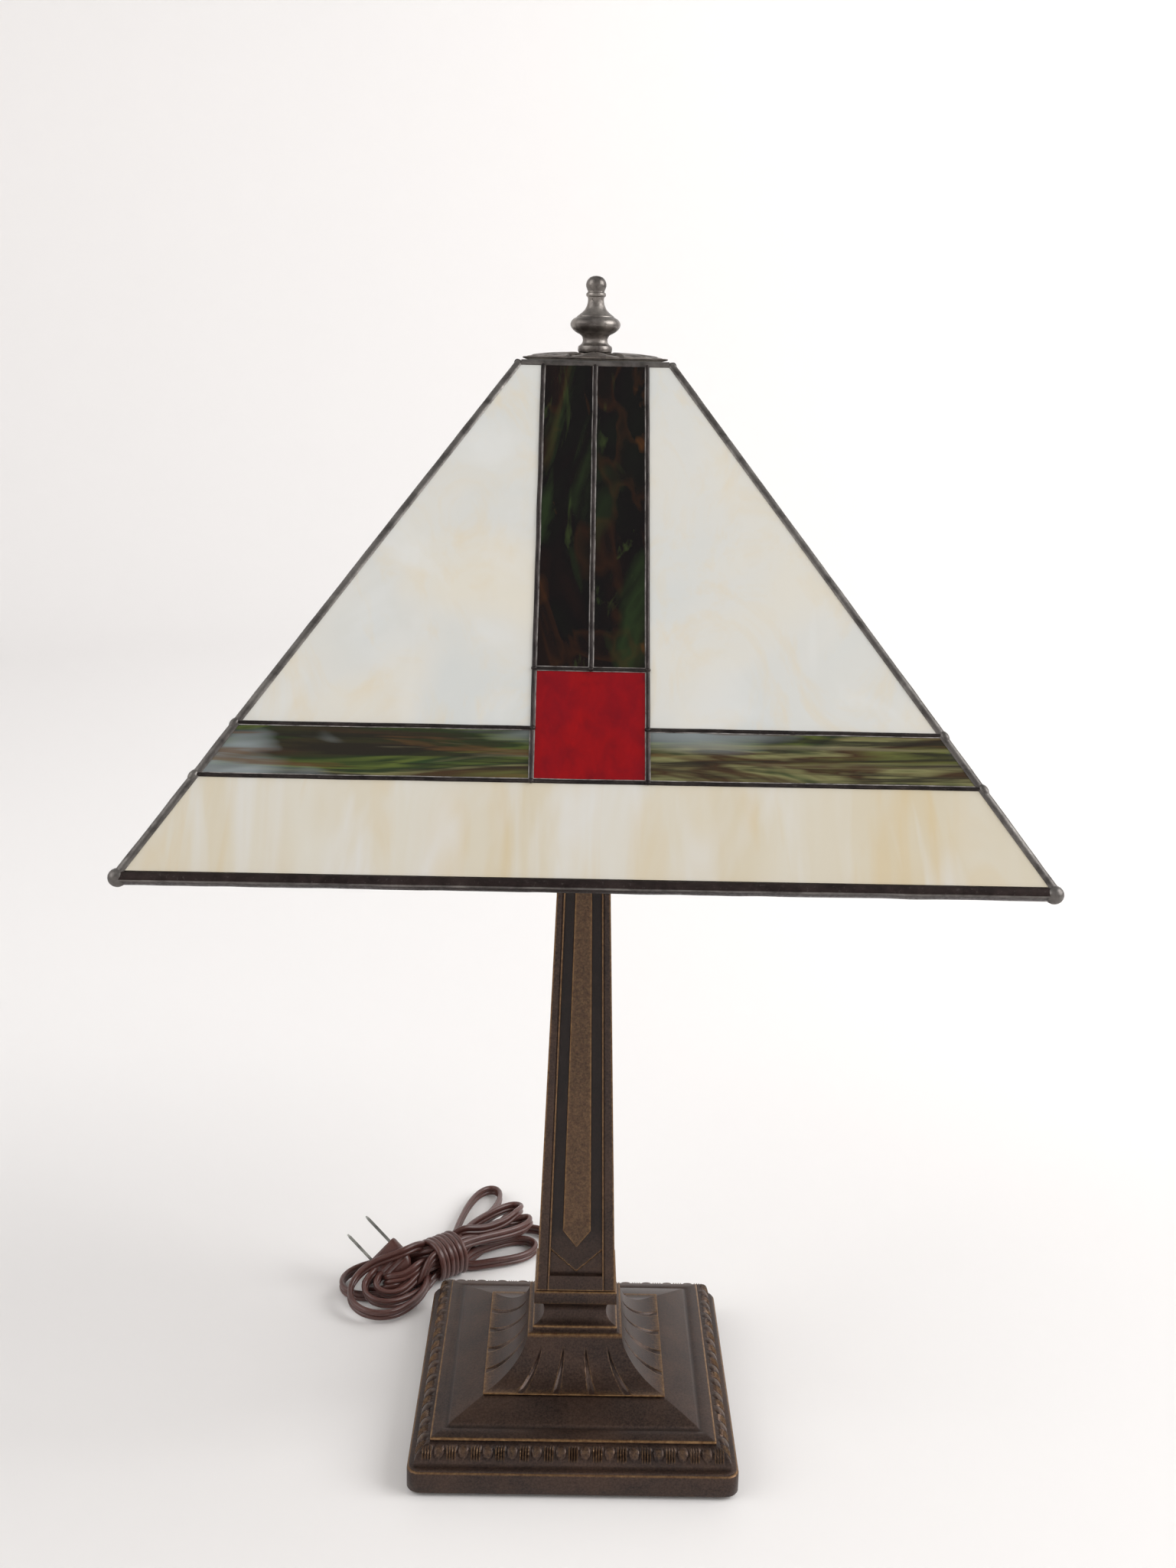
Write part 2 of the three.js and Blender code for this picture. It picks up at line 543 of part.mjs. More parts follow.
function socketShell() {
  const wall = turned([
    [14.7, 281.8], [15.4, 281.8], [15.4, 288], [15.9, 289], [15.4, 290], [15.4, 308], [16.4, 312],
    [16.4, SOCKET.shellTop], [15.6, SOCKET.shellTop], [15.6, 312.6], [14.7, 308.6], [14.7, 281.8],
  ]);
  const knobHole = cylinder(3.4, 10, 20, 16).rotateX(Math.PI / 2).translate(0, 0, SOCKET.knobZ);
  return solid(wall).subtract(solid(knobHole));
}
addPart('socket_shell', geometryOf(socketShell()), BRASS());
addPart('socket_interior', cylinder(13, 280, 303, 24), paint(0x1d1a18, 0.5));
addPart('screw_shell', ring(13.5, 14, 303.4, 327, 24), BRASS());

// Turn key: a stem out of the front of the shell and a flat paddle
function switchKnob() {
  const stem = cylinder(2.6, 13.4, 30, 12).rotateX(Math.PI / 2);
  const paddle = new THREE.SphereGeometry(1, 12, 8).scale(7.5, 6, 2.6).translate(0, -33, 0);
  return solid(stem).add(solid(paddle));
}
addPart('switch_knob', geometryOf(switchKnob()), paint(0x1c1a19, 0.4))
  .position.set(0, 0, SOCKET.knobZ);

// ---------------------------------------------------------------- bulb
function bulbBase() {
  const profile = [[0, BULB.baseBottom], [4, BULB.baseBottom], [9, BULB.baseBottom + 3]];
  const turns = 5;
  for (let i = 0; i < turns; i += 1) {
    const z = BULB.baseBottom + 4 + i * 3.6;
    profile.push([12.3, z], [13, z + 1.8]);
  }
  profile.push([12.3, BULB.baseTop - 3], [12.6, BULB.baseTop], [0, BULB.baseTop]);
  return turned(profile, 20);
}
addPart('bulb_base', bulbBase(), paint(0xb8b6b0, 0.3, 0.9));

function bulbGlobe() {
  const outer = [[13.2, 0], [14, 5], [17.5, 13], [23, 24], [27.6, 33], [29.7, 41], [BULB.r, 48]];
  const height = BULB.top - BULB.baseTop - GAP;
  const crown = height - 48;
  for (let i = 1; i < 6; i += 1) {
    const angle = (i / 6) * (Math.PI / 2);
    outer.push([BULB.r * Math.cos(angle), 48 + crown * Math.sin(angle)]);
  }
  outer.push([0, height]);
  const inner = outer.map(([r, h]) => [Math.max(r - 1, 0), h === height ? h - 1 : h]).reverse();
  const profile = [...inner, ...outer].map(([r, h]) => [r, BULB.baseTop + GAP + h]);
  return turned(profile, 20);
}
addPart('bulb_globe', bulbGlobe(), paint(0xf3efe6, 0.3));

// ---------------------------------------------------------------- cord
const VINYL = () => paint(0x4f3730, 0.45);

// Strain relief: a flanged bushing in the back of the plinth that tapers onto the cord
function cordBushing() {
  const profile = [
    [0, 60.2], [EXIT.flangeR, 60.2], [EXIT.flangeR, 62.2], [EXIT.holeR - GAP, 62.2],
    [EXIT.holeR - GAP, PLINTH.half + GAP], [EXIT.flangeR, PLINTH.half + GAP], [EXIT.flangeR, 72],
    [3.6, EXIT.sleeveEnd], [0, EXIT.sleeveEnd],
  ];
  return turned(profile, 20).rotateX(-Math.PI / 2).translate(0, 0, EXIT.z);
}
addPart('cord_bushing', cordBushing(), paint(0x33241f, 0.5));

// The cord's free run: out of the sleeve, down to the table and round to the hank
const LEAD = [
  [0, 91.3, 6.2], [0, 96, 5.5], [-0.2, 101, 4], [-0.8, 107, 3.1], [-2.2, 114, 2.8],
  [-4.6, 121.5, 2.8], [-8, 129, 2.8], [-11.2, 133.6, 2.8], [-15, 137.4, 2.8],
];

function cordLead() {
  const path = new THREE.CatmullRomCurve3(LEAD.map((p) => new THREE.Vector3(...p)), false, 'centripetal');
  const flat = [];
  for (let i = 0; i < 8; i += 1) {
    const angle = (i + 0.5) * (Math.PI / 4);
    flat.push([(CORD.width / 2) * Math.cos(angle), (CORD.thickness / 2) * Math.sin(angle)]);
  }
  return new THREE.ExtrudeGeometry(outline(flat), { steps: 16, bevelEnabled: false, extrudePath: path });
}
addPart('cord_lead', cordLead(), VINYL());

// Plug: a flat moulded body with two parallel blades, tilted among the turns of the hank
const plugAxes = new THREE.Matrix4();
{
  const out = new THREE.Vector3(...PLUG_OUT).normalize();
  const spread = new THREE.Vector3(...PLUG_SPREAD);
  spread.addScaledVector(out, -spread.dot(out)).normalize();
  plugAxes.makeBasis(spread, new THREE.Vector3().crossVectors(out, spread), out);
  plugAxes.setPosition(...PLUG.face);
}

function plugBody(grow) {
  const [w, t] = [PLUG.width / 2 + grow, PLUG.thickness / 2 + grow];
  const end = [w * 0.62, t * 0.75];
  const body = new THREE.BufferGeometry();
  const ring4 = (a, b, z) => [[-a, -b, z], [a, -b, z], [a, b, z], [-a, b, z]];
  const points = [
    ...ring4(...end, -PLUG.length - grow), ...ring4(w, t, -PLUG.length * 0.45), ...ring4(w, t, grow),
  ];
  const faces = [0, 2, 1, 0, 3, 2, 8, 9, 10, 8, 10, 11];
  for (const level of [0, 4]) {
    for (let i = 0; i < 4; i += 1) {
      const [a, b] = [level + i, level + ((i + 1) % 4)];
      faces.push(a, b, b + 4, a, b + 4, a + 4);
    }
  }
  body.setAttribute('position', new THREE.Float32BufferAttribute(points.flat(), 3));
  body.setIndex(faces);
  return body;
}

function plug() {
  const pieces = [solid(plugBody(0).applyMatrix4(plugAxes))];
  for (const side of [-1, 1]) {
    const x = (side * BLADE.spacing) / 2;
    const blade = box(
      [x - BLADE.thickness / 2, -BLADE.width / 2, -2],
      [x + BLADE.thickness / 2, BLADE.width / 2, BLADE.length],
    );
    pieces.push(solid(blade.applyMatrix4(plugAxes)));
  }
  return join(pieces);
}
addPart('plug', geometryOf(plug()), VINYL());

// Hank: the outer shape of the folded cord and of its one longer loop, hollowed where the plug lies
function cordHank() {
  const turns = solid(slab(stadium(HANK.left, HANK.right, HANK.r), 0, HANK.height, 8));
  const loop = solid(slab(stadium(SIDE_LOOP.from, SIDE_LOOP.to, SIDE_LOOP.r), 0, 14, 5));
  const nest = plugBody(0.6);
  const blades = box([-8, -4.2, -1], [8, 4.2, BLADE.length + 1]);
  return cut(turns.add(loop), [nest, blades].map((tool) => solid(tool.applyMatrix4(plugAxes))));
}
addPart('cord_hank', geometryOf(cordHank()), VINYL());

export default lamp;
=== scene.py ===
"""Looks of the stained glass table lamp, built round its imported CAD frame.

Lengths in this script are millimetres until a mesh is made, which turns them into metres.
"""

import math

import bmesh
import bpy
import numpy as np
from mathutils import Matrix, Vector, noise


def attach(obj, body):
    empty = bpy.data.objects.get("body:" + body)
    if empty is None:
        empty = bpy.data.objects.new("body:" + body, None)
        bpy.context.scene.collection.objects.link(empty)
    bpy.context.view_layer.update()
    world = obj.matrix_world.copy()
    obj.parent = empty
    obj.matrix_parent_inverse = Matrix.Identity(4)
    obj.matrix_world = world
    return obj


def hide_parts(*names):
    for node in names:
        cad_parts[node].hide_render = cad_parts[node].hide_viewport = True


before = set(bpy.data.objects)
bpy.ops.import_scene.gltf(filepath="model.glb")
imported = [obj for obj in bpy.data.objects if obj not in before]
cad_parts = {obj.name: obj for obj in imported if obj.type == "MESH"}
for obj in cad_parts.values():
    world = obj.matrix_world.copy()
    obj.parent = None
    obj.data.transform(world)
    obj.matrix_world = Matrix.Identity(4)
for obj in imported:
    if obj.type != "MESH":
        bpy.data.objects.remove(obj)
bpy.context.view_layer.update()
MM = 0.001
scene = bpy.context.scene
scene.view_settings.view_transform = "Standard"


# ---------------------------------------------------------------- camera
CAMERA_AT = (-5.46, -636.83, 453.91)
PAN, PITCH, ROLL = math.radians(0.571), math.radians(14.373), math.radians(1.218)
FOCAL_PIXELS = 2068.7
IMAGE_HEIGHT = 2049
SENSOR = 36.0


def make_camera():
    ahead = Vector((math.sin(PAN) * math.cos(PITCH), math.cos(PAN) * math.cos(PITCH), -math.sin(PITCH)))
    level = Vector((math.cos(PAN), -math.sin(PAN), 0))
    above = level.cross(ahead)
    right = math.cos(ROLL) * level + math.sin(ROLL) * above
    up = -math.sin(ROLL) * level + math.cos(ROLL) * above
    data = bpy.data.cameras.new("camera")
    data.sensor_width = SENSOR
    data.lens = SENSOR * FOCAL_PIXELS / IMAGE_HEIGHT
    data.clip_start, data.clip_end = 0.01, 50
    camera = bpy.data.objects.new("camera", data)
    turned = Matrix((right, up, -ahead)).transposed().to_4x4()
    turned.translation = MM * Vector(CAMERA_AT)
    camera.matrix_world = turned
    scene.collection.objects.link(camera)
    scene.camera = camera


make_camera()


# ---------------------------------------------------------------- materials
def srgb(r, g, b):
    """A colour from its 0 to 255 screen values."""
    def linear(c):
        c = c / 255
        return c / 12.92 if c <= 0.04045 else ((c + 0.055) / 1.055) ** 2.4
    return (linear(r), linear(g), linear(b), 1.0)


class Look:
    """A material and the nodes that make it."""

    def __init__(self, name, **values):
        self.material = bpy.data.materials.new(name)
        self.material.use_nodes = True
        self.tree = self.material.node_tree
        self.shader = self.tree.nodes["Principled BSDF"]
        for key, value in values.items():
            self.set(key.replace("_", " "), value)

    def set(self, key, value):
        self.put(self.shader, key, value)

    def put(self, node, key, value):
        if isinstance(value, bpy.types.NodeSocket):
            self.tree.links.new(value, node.inputs[key])
        else:
            node.inputs[key].default_value = value

    def node(self, kind, out=0, **inputs):
        made = self.tree.nodes.new("ShaderNode" + kind)
        for key, value in inputs.items():
            self.put(made, key, value)
        return made.outputs[out]

    def place(self, scale=(1, 1, 1), turn=0.0, shift=(0, 0, 0)):
        """Object coordinates in millimetres, turned about the upright axis, then stretched."""
        here = self.node("TexCoord", "Object")
        turned = self.node("Mapping", Vector=here, Rotation=(0, 0, turn), Scale=(1000, 1000, 1000))
        return self.node("Mapping", Vector=turned, Scale=scale, Location=shift)

    def noise(self, vector, scale, detail=3.0, rough=0.5, distortion=0.0):
        return self.node("TexNoise", Vector=vector, Scale=scale, Detail=detail, Roughness=rough,
                         Distortion=distortion)

    def ramp(self, fac, *stops):
        made = self.tree.nodes.new("ShaderNodeValToRGB")
        band = made.color_ramp
        while len(band.elements) < len(stops):
            band.elements.new(0.5)
        for element, (position, value) in zip(band.elements, stops):
            element.position = position
            element.color = value if hasattr(value, "__len__") else (value, value, value, 1)
        self.put(made, 0, fac)
        return made.outputs[0]

    def mix(self, fac, a, b):
        made = self.tree.nodes.new("ShaderNodeMix")
        made.data_type = "RGBA"
        for key, value in ((0, fac), (6, a), (7, b)):
            self.put(made, key, value)
        return made.outputs[2]

    def math(self, operation, a, b):
        made = self.tree.nodes.new("ShaderNodeMath")
        made.operation = operation
        self.put(made, 0, a)
        self.put(made, 1, b)
        return made.outputs[0]

    def bump(self, height, strength, distance):
        self.set("Normal", self.node("Bump", Height=height, Strength=strength, Distance=distance))

    def attribute(self, name):
        made = self.tree.nodes.new("ShaderNodeAttribute")
        made.attribute_name = name
        return made.outputs["Fac"]

    def tones(self, where, grain, *stops):
        """A noise's colours. grain is what noise() takes after its vector, a stop its place and colour."""
        return self.ramp(self.noise(where, *grain), *((at, srgb(*colour)) for at, *colour in stops))

    def layer(self, body, colour, where, grain, *stops):
        """The body with a colour laid over it, as strongly as the stops say, by a noise."""
        return self.mix(self.ramp(self.noise(where, *grain), *stops), body, srgb(*colour))


class Glass(Look):
    """A glass whose pattern is turned to face its own side of the shade."""

    def __init__(self, kind, turn, seed, roughness=0.14, coat=0.25, shine=0.35):
        super().__init__(f"{kind}_{turn}", Roughness=roughness, Coat_Weight=coat, Coat_Roughness=0.08,
                         IOR=1.5, Specular_IOR_Level=shine)
        self.turn, self.seed = -turn * math.pi / 2, seed

    def flow(self, scale=(1, 1, 1), shift=0, lift=0):
        """Coordinates stretched by scale and moved to a part of the noise of their own."""
        return self.place(scale, self.turn, (self.seed + shift, 0, lift))

    def finish(self, colour, ripple, detail, strength, distance=0.001):
        self.set("Base Color", colour)
        self.bump(self.noise(self.flow(), ripple, detail, 0.4), strength, distance)
        return self.material


def cream_glass(turn, seed):
    """Milky glass with soft clouds and faint warm veils that fall down the pane."""
    look = Glass("cream_glass", turn, seed)
    drift = look.flow((1.0, 1.0, 0.4), 0, 7)
    body = look.tones(drift, (0.014, 3, 0.5, 0.8),
                      (0.33, 206, 208, 205), (0.5, 212, 211, 205), (0.68, 217, 212, 199))
    body = look.layer(body, (216, 202, 174), drift, (0.03, 4, 0.6, 2.6), (0.48, 0.0), (0.72, 0.45))
    body = look.layer(body, (219, 220, 218), drift, (0.022, 3, 0.5, 1.5), (0.52, 0.0), (0.7, 0.5))
    return look.finish(body, 0.035, 2, 0.22, 0.0012)


def beige_glass(turn, seed):
    """Warm glass with soft streaks that run down the slope: amber, cream and near white."""
    look = Glass("beige_glass", turn, seed)
    falls = look.flow((1.0, 0.3, 0.14), 40, 3)
    body = look.tones(falls, (0.02, 3, 0.5, 1.2),
                      (0.34, 212, 208, 196), (0.52, 209, 201, 182), (0.68, 205, 193, 166))
    body = look.layer(body, (207, 184, 138), falls, (0.045, 3, 0.55, 1.6), (0.5, 0.0), (0.72, 0.5))
    body = look.layer(body, (216, 216, 214), falls, (0.032, 3, 0.5, 1.6), (0.52, 0.0), (0.7, 0.65))
    return look.finish(body, 0.035, 2, 0.22, 0.0012)


def red_glass(turn, seed):
    """Deep red glass, slightly mottled, with a few pale specks."""
    look = Glass("red_glass", turn, seed, 0.22, 0.1, 0.15)
    falls = look.flow((1, 1, 0.35), 9)
    body = look.tones(falls, (0.16, 4, 0.6, 0.5), (0.25, 118, 4, 16), (0.5, 136, 5, 14), (0.75, 150, 8, 14))
    body = look.layer(body, (108, 5, 24), falls, (0.05, 2, 0.5, 0.4), (0.35, 0.4), (0.6, 0.0))
    body = look.layer(body, (190, 80, 80), look.flow(), (1.1, 2, 0.5), (0.76, 0.0), (0.82, 0.5))
    return look.finish(body, 0.06, 2, 0.15)


def dark_glass(turn, seed):
    """Nearly black glass with broad green wisps and thin amber threads drawn through it."""
    look = Glass("dark_glass", turn, seed, 0.14, 0.1, 0.12)
    falls = look.flow((1.0, 0.5, 0.24), 5, 11)
    body = look.tones(falls, (0.03, 3, 0.5, 1.5), (0.34, 22, 12, 10), (0.5, 12, 8, 9), (0.68, 14, 16, 11))
    for colour, grain, *stops in (
            ((40, 56, 28), (0.027, 4, 0.5, 1.9), (0.55, 0.0), (0.66, 0.6), (0.74, 0.2)),
            ((84, 48, 20), (0.022, 3, 0.55, 2.2), (0.45, 0.0), (0.48, 0.16), (0.52, 0.03), (0.57, 0.0)),
            ((98, 58, 22), (0.05, 3, 0.5, 1.4), (0.62, 0.0), (0.72, 0.65)),
            ((72, 88, 44), (0.04, 4, 0.6, 2.0), (0.61, 0.0), (0.72, 0.5))):
        body = look.layer(body, colour, falls, grain, *stops)
    return look.finish(body, 0.05, 3, 0.2)


def green_glass(turn, seed):
    """Streaky glass drawn along the band: olive, dark green, brown, amber and pale blue-grey."""
    look = Glass("green_glass", turn, seed, 0.14, 0.15, 0.25)
    runs, thread = look.flow((0.11, 0.6, 0.95), 21, 5), look.flow((0.06, 0.6, 1.7), 33, 2)
    clear = look.flow((0.3, 0.6, 1.0), 61, 9)
    body = look.tones(
        runs, (0.05, 4, 0.55, 1.9), (0.32, 52, 36, 24), (0.41, 34, 46, 20), (0.455, 84, 96, 40),
        (0.49, 34, 54, 26), (0.54, 120, 118, 78), (0.59, 62, 42, 24), (0.67, 92, 96, 48), (0.76, 32, 36, 20))
    for colour, where, grain, *stops in (
            ((30, 26, 18), thread, (0.17, 5, 0.6, 0.7), (0.46, 0.0), (0.58, 0.88)),
            ((140, 148, 150), clear, (0.03, 3, 0.5, 0.8), (0.51, 0.0), (0.63, 0.85)),
            ((146, 140, 108), thread, (0.1, 4, 0.6, 0.6), (0.58, 0.0), (0.68, 0.5)),
            ((40, 42, 24), runs, (0.026, 2, 0.5, 0.6), (0.56, 0.0), (0.68, 0.5)),
            ((96, 66, 34), thread, (0.13, 4, 0.6, 0.8), (0.36, 0.65), (0.44, 0.0))):
        body = look.layer(body, colour, where, grain, *stops)
    return look.finish(body, 0.06, 3, 0.2)


def metal(name, dark, light, roughness=0.4, metallic=0.85, grain=0.5, bump=0.3, depth=0.0002):
    look = Look(name, Metallic=metallic, IOR=1.45)
    here = look.place()
    blotch = look.noise(here, grain * 0.25, 4, 0.6, 0.3)
    look.set("Base Color", look.ramp(blotch, (0.34, dark), (0.68, light)))
    fine = look.noise(here, grain, 3, 0.6)
    look.set("Roughness", look.ramp(fine, (0.3, roughness - 0.08), (0.7, roughness + 0.12)))
    look.bump(look.noise(here, grain * 2.4, 4, 0.65), bump, depth)
    return look.material


def bronze():
    """Dark bronze. The wear attribute is 1 along edges rubbed to gold and -1 in blackened recesses. On the
    darts of the egg-and-dart, the rubbed gold also serves as a painted highlight.
    """
    look = Look("bronze", IOR=1.5)
    here = look.place()
    blotch = look.noise(here, 0.045, 3, 0.5, 0.4)
    fine = look.noise(here, 1.1, 4, 0.7)
    dark = look.ramp(blotch, (0.35, srgb(37, 29, 27)), (0.65, srgb(72, 53, 42)))
    grain = look.ramp(fine, (0.32, srgb(24, 19, 18)), (0.66, srgb(86, 68, 60)))
    body = look.mix(0.5, dark, grain)
    gold = look.ramp(look.noise(here, 0.6, 3, 0.6), (0.3, srgb(104, 76, 52)), (0.7, srgb(152, 120, 84)))
    wear = look.attribute("wear")
    ragged = look.math("MULTIPLY", look.math("SUBTRACT", fine, 0.5), 0.7)
    rubbed_and_highlight = look.ramp(look.math("ADD", wear, ragged), (0.2, 0.0), (1.2, 1.0))
    black = look.math("MULTIPLY", wear, -0.85)
    sunk = look.math("MINIMUM", look.math("MAXIMUM", black, 0.0), 1.0)
    worn = look.mix(rubbed_and_highlight, body, gold)
    look.set("Base Color", look.mix(sunk, worn, srgb(26, 22, 22)))
    look.set("Roughness", look.ramp(fine, (0.25, 0.3), (0.75, 0.48)))
    look.set("Metallic", look.math("ADD", 0.55, look.math("MULTIPLY", rubbed_and_highlight, 0.35)))
    look.bump(look.noise(here, 1.6, 5, 0.7), 0.3, 0.00015)
    return look.material


def solder_metal(name, dark, light, roughness=0.36):
    look = Look(name, Metallic=0.8, IOR=1.5)
    here = look.place()
    blotch = look.noise(here, 0.12, 4, 0.6, 0.5)
    fine = look.noise(here, 0.9, 3, 0.6)
    base = look.ramp(blotch, (0.34, dark), (0.7, light))
    look.set("Base Color", look.mix(look.ramp(fine, (0.6, 0.0), (0.8, 0.35)), base, srgb(120, 114, 110)))
    look.set("Roughness", look.ramp(fine, (0.3, roughness - 0.1), (0.7, roughness + 0.14)))
    look.bump(look.noise(here, 0.45, 3, 0.6), 0.35, 0.0003)
    return look.material


def vinyl():
    look = Look("cord_vinyl", IOR=1.5, Coat_Weight=0.15, Coat_Roughness=0.25)
    here = look.place()
    tone = look.noise(here, 0.05, 3, 0.5)
    fine = look.noise(here, 0.7, 3, 0.6)
    base = look.ramp(tone, (0.3, srgb(68, 38, 34)), (0.7, srgb(92, 58, 52)))
    look.set("Base Color", look.mix(look.ramp(fine, (0.5, 0.0), (0.8, 0.25)), base, srgb(118, 86, 78)))
    look.set("Roughness", look.ramp(fine, (0.3, 0.27), (0.7, 0.4)))
    look.bump(look.noise(here, 2.5, 3, 0.6), 0.12, 0.0001)
    return look.material


SOLDER = solder_metal("solder", srgb(32, 27, 27), srgb(62, 56, 54), 0.4)
HIP_SOLDER = solder_metal("hip_solder", srgb(74, 70, 68), srgb(122, 118, 114), 0.38)
RIM_SOLDER = solder_metal("rim_solder", srgb(36, 28, 27), srgb(58, 48, 46), 0.42)
FOIL = metal("foil_edge", srgb(104, 98, 95), srgb(196, 190, 186), 0.4, 0.85, 0.9)
PEWTER = metal("finial_pewter", srgb(88, 83, 80), srgb(150, 144, 138), 0.34, 0.85, 0.6, 0.35)
ANTIQUE = metal("antique_pewter", srgb(84, 77, 73), srgb(138, 130, 123), 0.4, 0.8, 0.7, 0.4)
BRONZE = bronze()
STEEL = metal("zinc_steel", srgb(120, 120, 116), srgb(172, 172, 166), 0.36, 0.9, 0.5)
BRASS = metal("brass", srgb(142, 112, 60), srgb(190, 158, 96), 0.3, 0.9, 0.4, 0.2)
PHENOLIC = metal("black_phenolic", srgb(20, 18, 17), srgb(38, 34, 32), 0.35, 0.0, 0.8, 0.15)
ALUMINIUM = metal("bulb_aluminium", srgb(168, 166, 160), srgb(208, 206, 200), 0.28, 0.9, 0.6, 0.15)
OPAL = metal("bulb_glass", srgb(236, 232, 224), srgb(246, 244, 240), 0.3, 0.0, 0.3, 0.05)
VINYL = vinyl()


def felt():
    look = Look("felt", Sheen_Weight=0.6, Sheen_Roughness=0.6, Roughness=0.95)
    here = look.place()
    fibre = look.noise(here, 1.4, 6, 0.75)
    look.set("Base Color", look.ramp(fibre, (0.3, srgb(34, 44, 30)), (0.7, srgb(62, 78, 56))))
    look.bump(fibre, 0.6, 0.0006)
    return look.material


FELT = felt()


# ---------------------------------------------------------------- mesh helpers
def piece(name, points, faces, material, body, smooth_angle=35.0, wear=None, extra=()):
    """A mesh piece from points in millimetres. extra lists more materials, by (material, face numbers)."""
    mesh = bpy.data.meshes.new(name)
    mesh.from_pydata([tuple(MM * float(c) for c in p) for p in points], [], [tuple(f) for f in faces])
    mesh.materials.append(material)
    for number, (other, which) in enumerate(extra, 1):
        mesh.materials.append(other)
        for face in which:
            mesh.polygons[face].material_index = number
    if wear is not None:
        mesh.attributes.new("wear", "FLOAT", "POINT").data.foreach_set("value", np.asarray(wear, np.float32))
    return finish_piece(name, mesh, body, smooth_angle)


def finish_piece(name, mesh, body, smooth_angle=35.0):
    made = bmesh.new()
    made.from_mesh(mesh)
    bmesh.ops.recalc_face_normals(made, faces=made.faces)
    limit = math.radians(smooth_angle)
    for face in made.faces:
        face.smooth = True
    for edge in made.edges:
        edge.smooth = len(edge.link_faces) == 2 and edge.calc_face_angle(0) < limit
    made.to_mesh(mesh)
    made.free()
    obj = bpy.data.objects.new(name, mesh)
    scene.collection.objects.link(obj)
    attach(obj, body)
    return obj


def rings(sections, closed=False):
    """Faces between rings of equal length, with end caps unless closed."""
    count = len(sections[0])
    points = [p for ring in sections for p in ring]
    faces = []
    for i in range(len(sections) - (0 if closed else 1)):
        a, b = i * count, ((i + 1) % len(sections)) * count
        for j in range(count):
            k = (j + 1) % count
            faces.append((a + j, a + k, b + k, b + j))
    if not closed:
        faces.append(tuple(reversed(range(count))))
        last = (len(sections) - 1) * count
        faces.append(tuple(last + j for j in range(count)))
    return points, faces


def lathe(profile, segments=48, axis_at=(0, 0)):
    """A turned surface from [radius, height] points. Points on the axis become a single point."""
    points, faces, rows = [], [], []
    for r, z in profile:
        if r < 1e-6:
            rows.append([len(points)] * segments)
            points.append((axis_at[0], axis_at[1], z))
            continue
        row = []
        for i in range(segments):
            angle = 2 * math.pi * i / segments
            row.append(len(points))
            points.append((axis_at[0] + r * math.cos(angle), axis_at[1] + r * math.sin(angle), z))
        rows.append(row)
    for low, high in zip(rows, rows[1:]):
        for i in range(segments):
            k = (i + 1) % segments
            corner = []
            for v in (low[i], low[k], high[k], high[i]):
                if v not in corner:
                    corner.append(v)
            if len(corner) > 2:
                faces.append(tuple(corner))
    return points, faces


def spline(points, step):
    """A smooth curve through the points, as evenly spaced points."""
    p = np.asarray(points, float)
    p = np.vstack([2 * p[0] - p[1], p, 2 * p[-1] - p[-2]])
    out = []
    for a, b, c, d in zip(p, p[1:], p[2:], p[3:]):
        knots = [0.0]
        for x, y in ((a, b), (b, c), (c, d)):
            knots.append(knots[-1] + max(np.linalg.norm(y - x), 1e-6) ** 0.5)
        for t in np.linspace(knots[1], knots[2], 12, endpoint=False):
            def blend(x, y, i, j):
                return ((knots[j] - t) * x + (t - knots[i]) * y) / (knots[j] - knots[i])
            ab, bc, cd = blend(a, b, 0, 1), blend(b, c, 1, 2), blend(c, d, 2, 3)
            out.append(blend(blend(ab, bc, 0, 2), blend(bc, cd, 1, 3), 1, 2))
    out.append(p[-2])
    return even(np.array(out), step)


def even(points, step):
    gaps = np.linalg.norm(np.diff(points, axis=0), axis=1)
    along = np.concatenate([[0], np.cumsum(gaps)])
    count = max(int(round(along[-1] / step)), 2)
    at = np.linspace(0, along[-1], count + 1)
    return np.stack([np.interp(at, along, points[:, i]) for i in range(3)], axis=1)


def smoothed(points, passes):
    out = points.copy()
    for _ in range(passes):
        out[2:-2] = 0.25 * out[1:-3] + 0.5 * out[2:-2] + 0.25 * out[3:-1]
    return out


def running_mean(values, reach):
    kernel = np.ones(2 * reach + 1) / (2 * reach + 1)
    return np.convolve(np.pad(values, reach, mode="edge"), kernel, mode="valid")


def grid_faces(rows, columns, closed=False):
    """Faces between rows of points. closed joins each row's last point to its first."""
    size = columns if closed else columns + 1
    return [(i * size + k, i * size + (k + 1) % size, (i + 1) * size + (k + 1) % size, (i + 1) * size + k)
            for i in range(rows) for k in range(columns)]


def circle(radius, z, count):
    angles = (2 * math.pi * i / count for i in range(count))
    return [(radius * math.cos(angle), radius * math.sin(angle), z) for angle in angles]


def quarter_turn(turn, size=3):
    return Matrix.Rotation(turn * math.pi / 2, size, "Z")


# ---------------------------------------------------------------- cord
CORD_WIDTH, CORD_THICK = 5.4, 2.7
LEAD = [
    (0, 84, 6.3), (0, 91.3, 6.2), (0, 96, 5.5), (-0.2, 101, 4), (-0.8, 107, 3.1), (-2.2, 114, 2.8),
    (-4.6, 121.5, 2.8), (-8, 129, 2.8), (-11.2, 133.6, 2.8), (-15, 137.4, 2.8),
    (-22, 141, 2.8), (-30, 141, 2.6), (-38.5, 136, 2), (-46, 126.5, 1.6), (-54, 114, 1.45),
]
FLAT_FROM = 12
TIE = np.array([-67.9, 97.7])
RUN = math.radians(38)
ALONG = np.array([math.cos(RUN), math.sin(RUN)])
ACROSS = np.array([-math.sin(RUN), math.cos(RUN)])
SLOT_PITCH = 3.0
SLOT_Z = {"A": 5.8, "B": 11.4, "C": 17.0}
PLUG_FACE = np.array([-99.5, 90, 19])
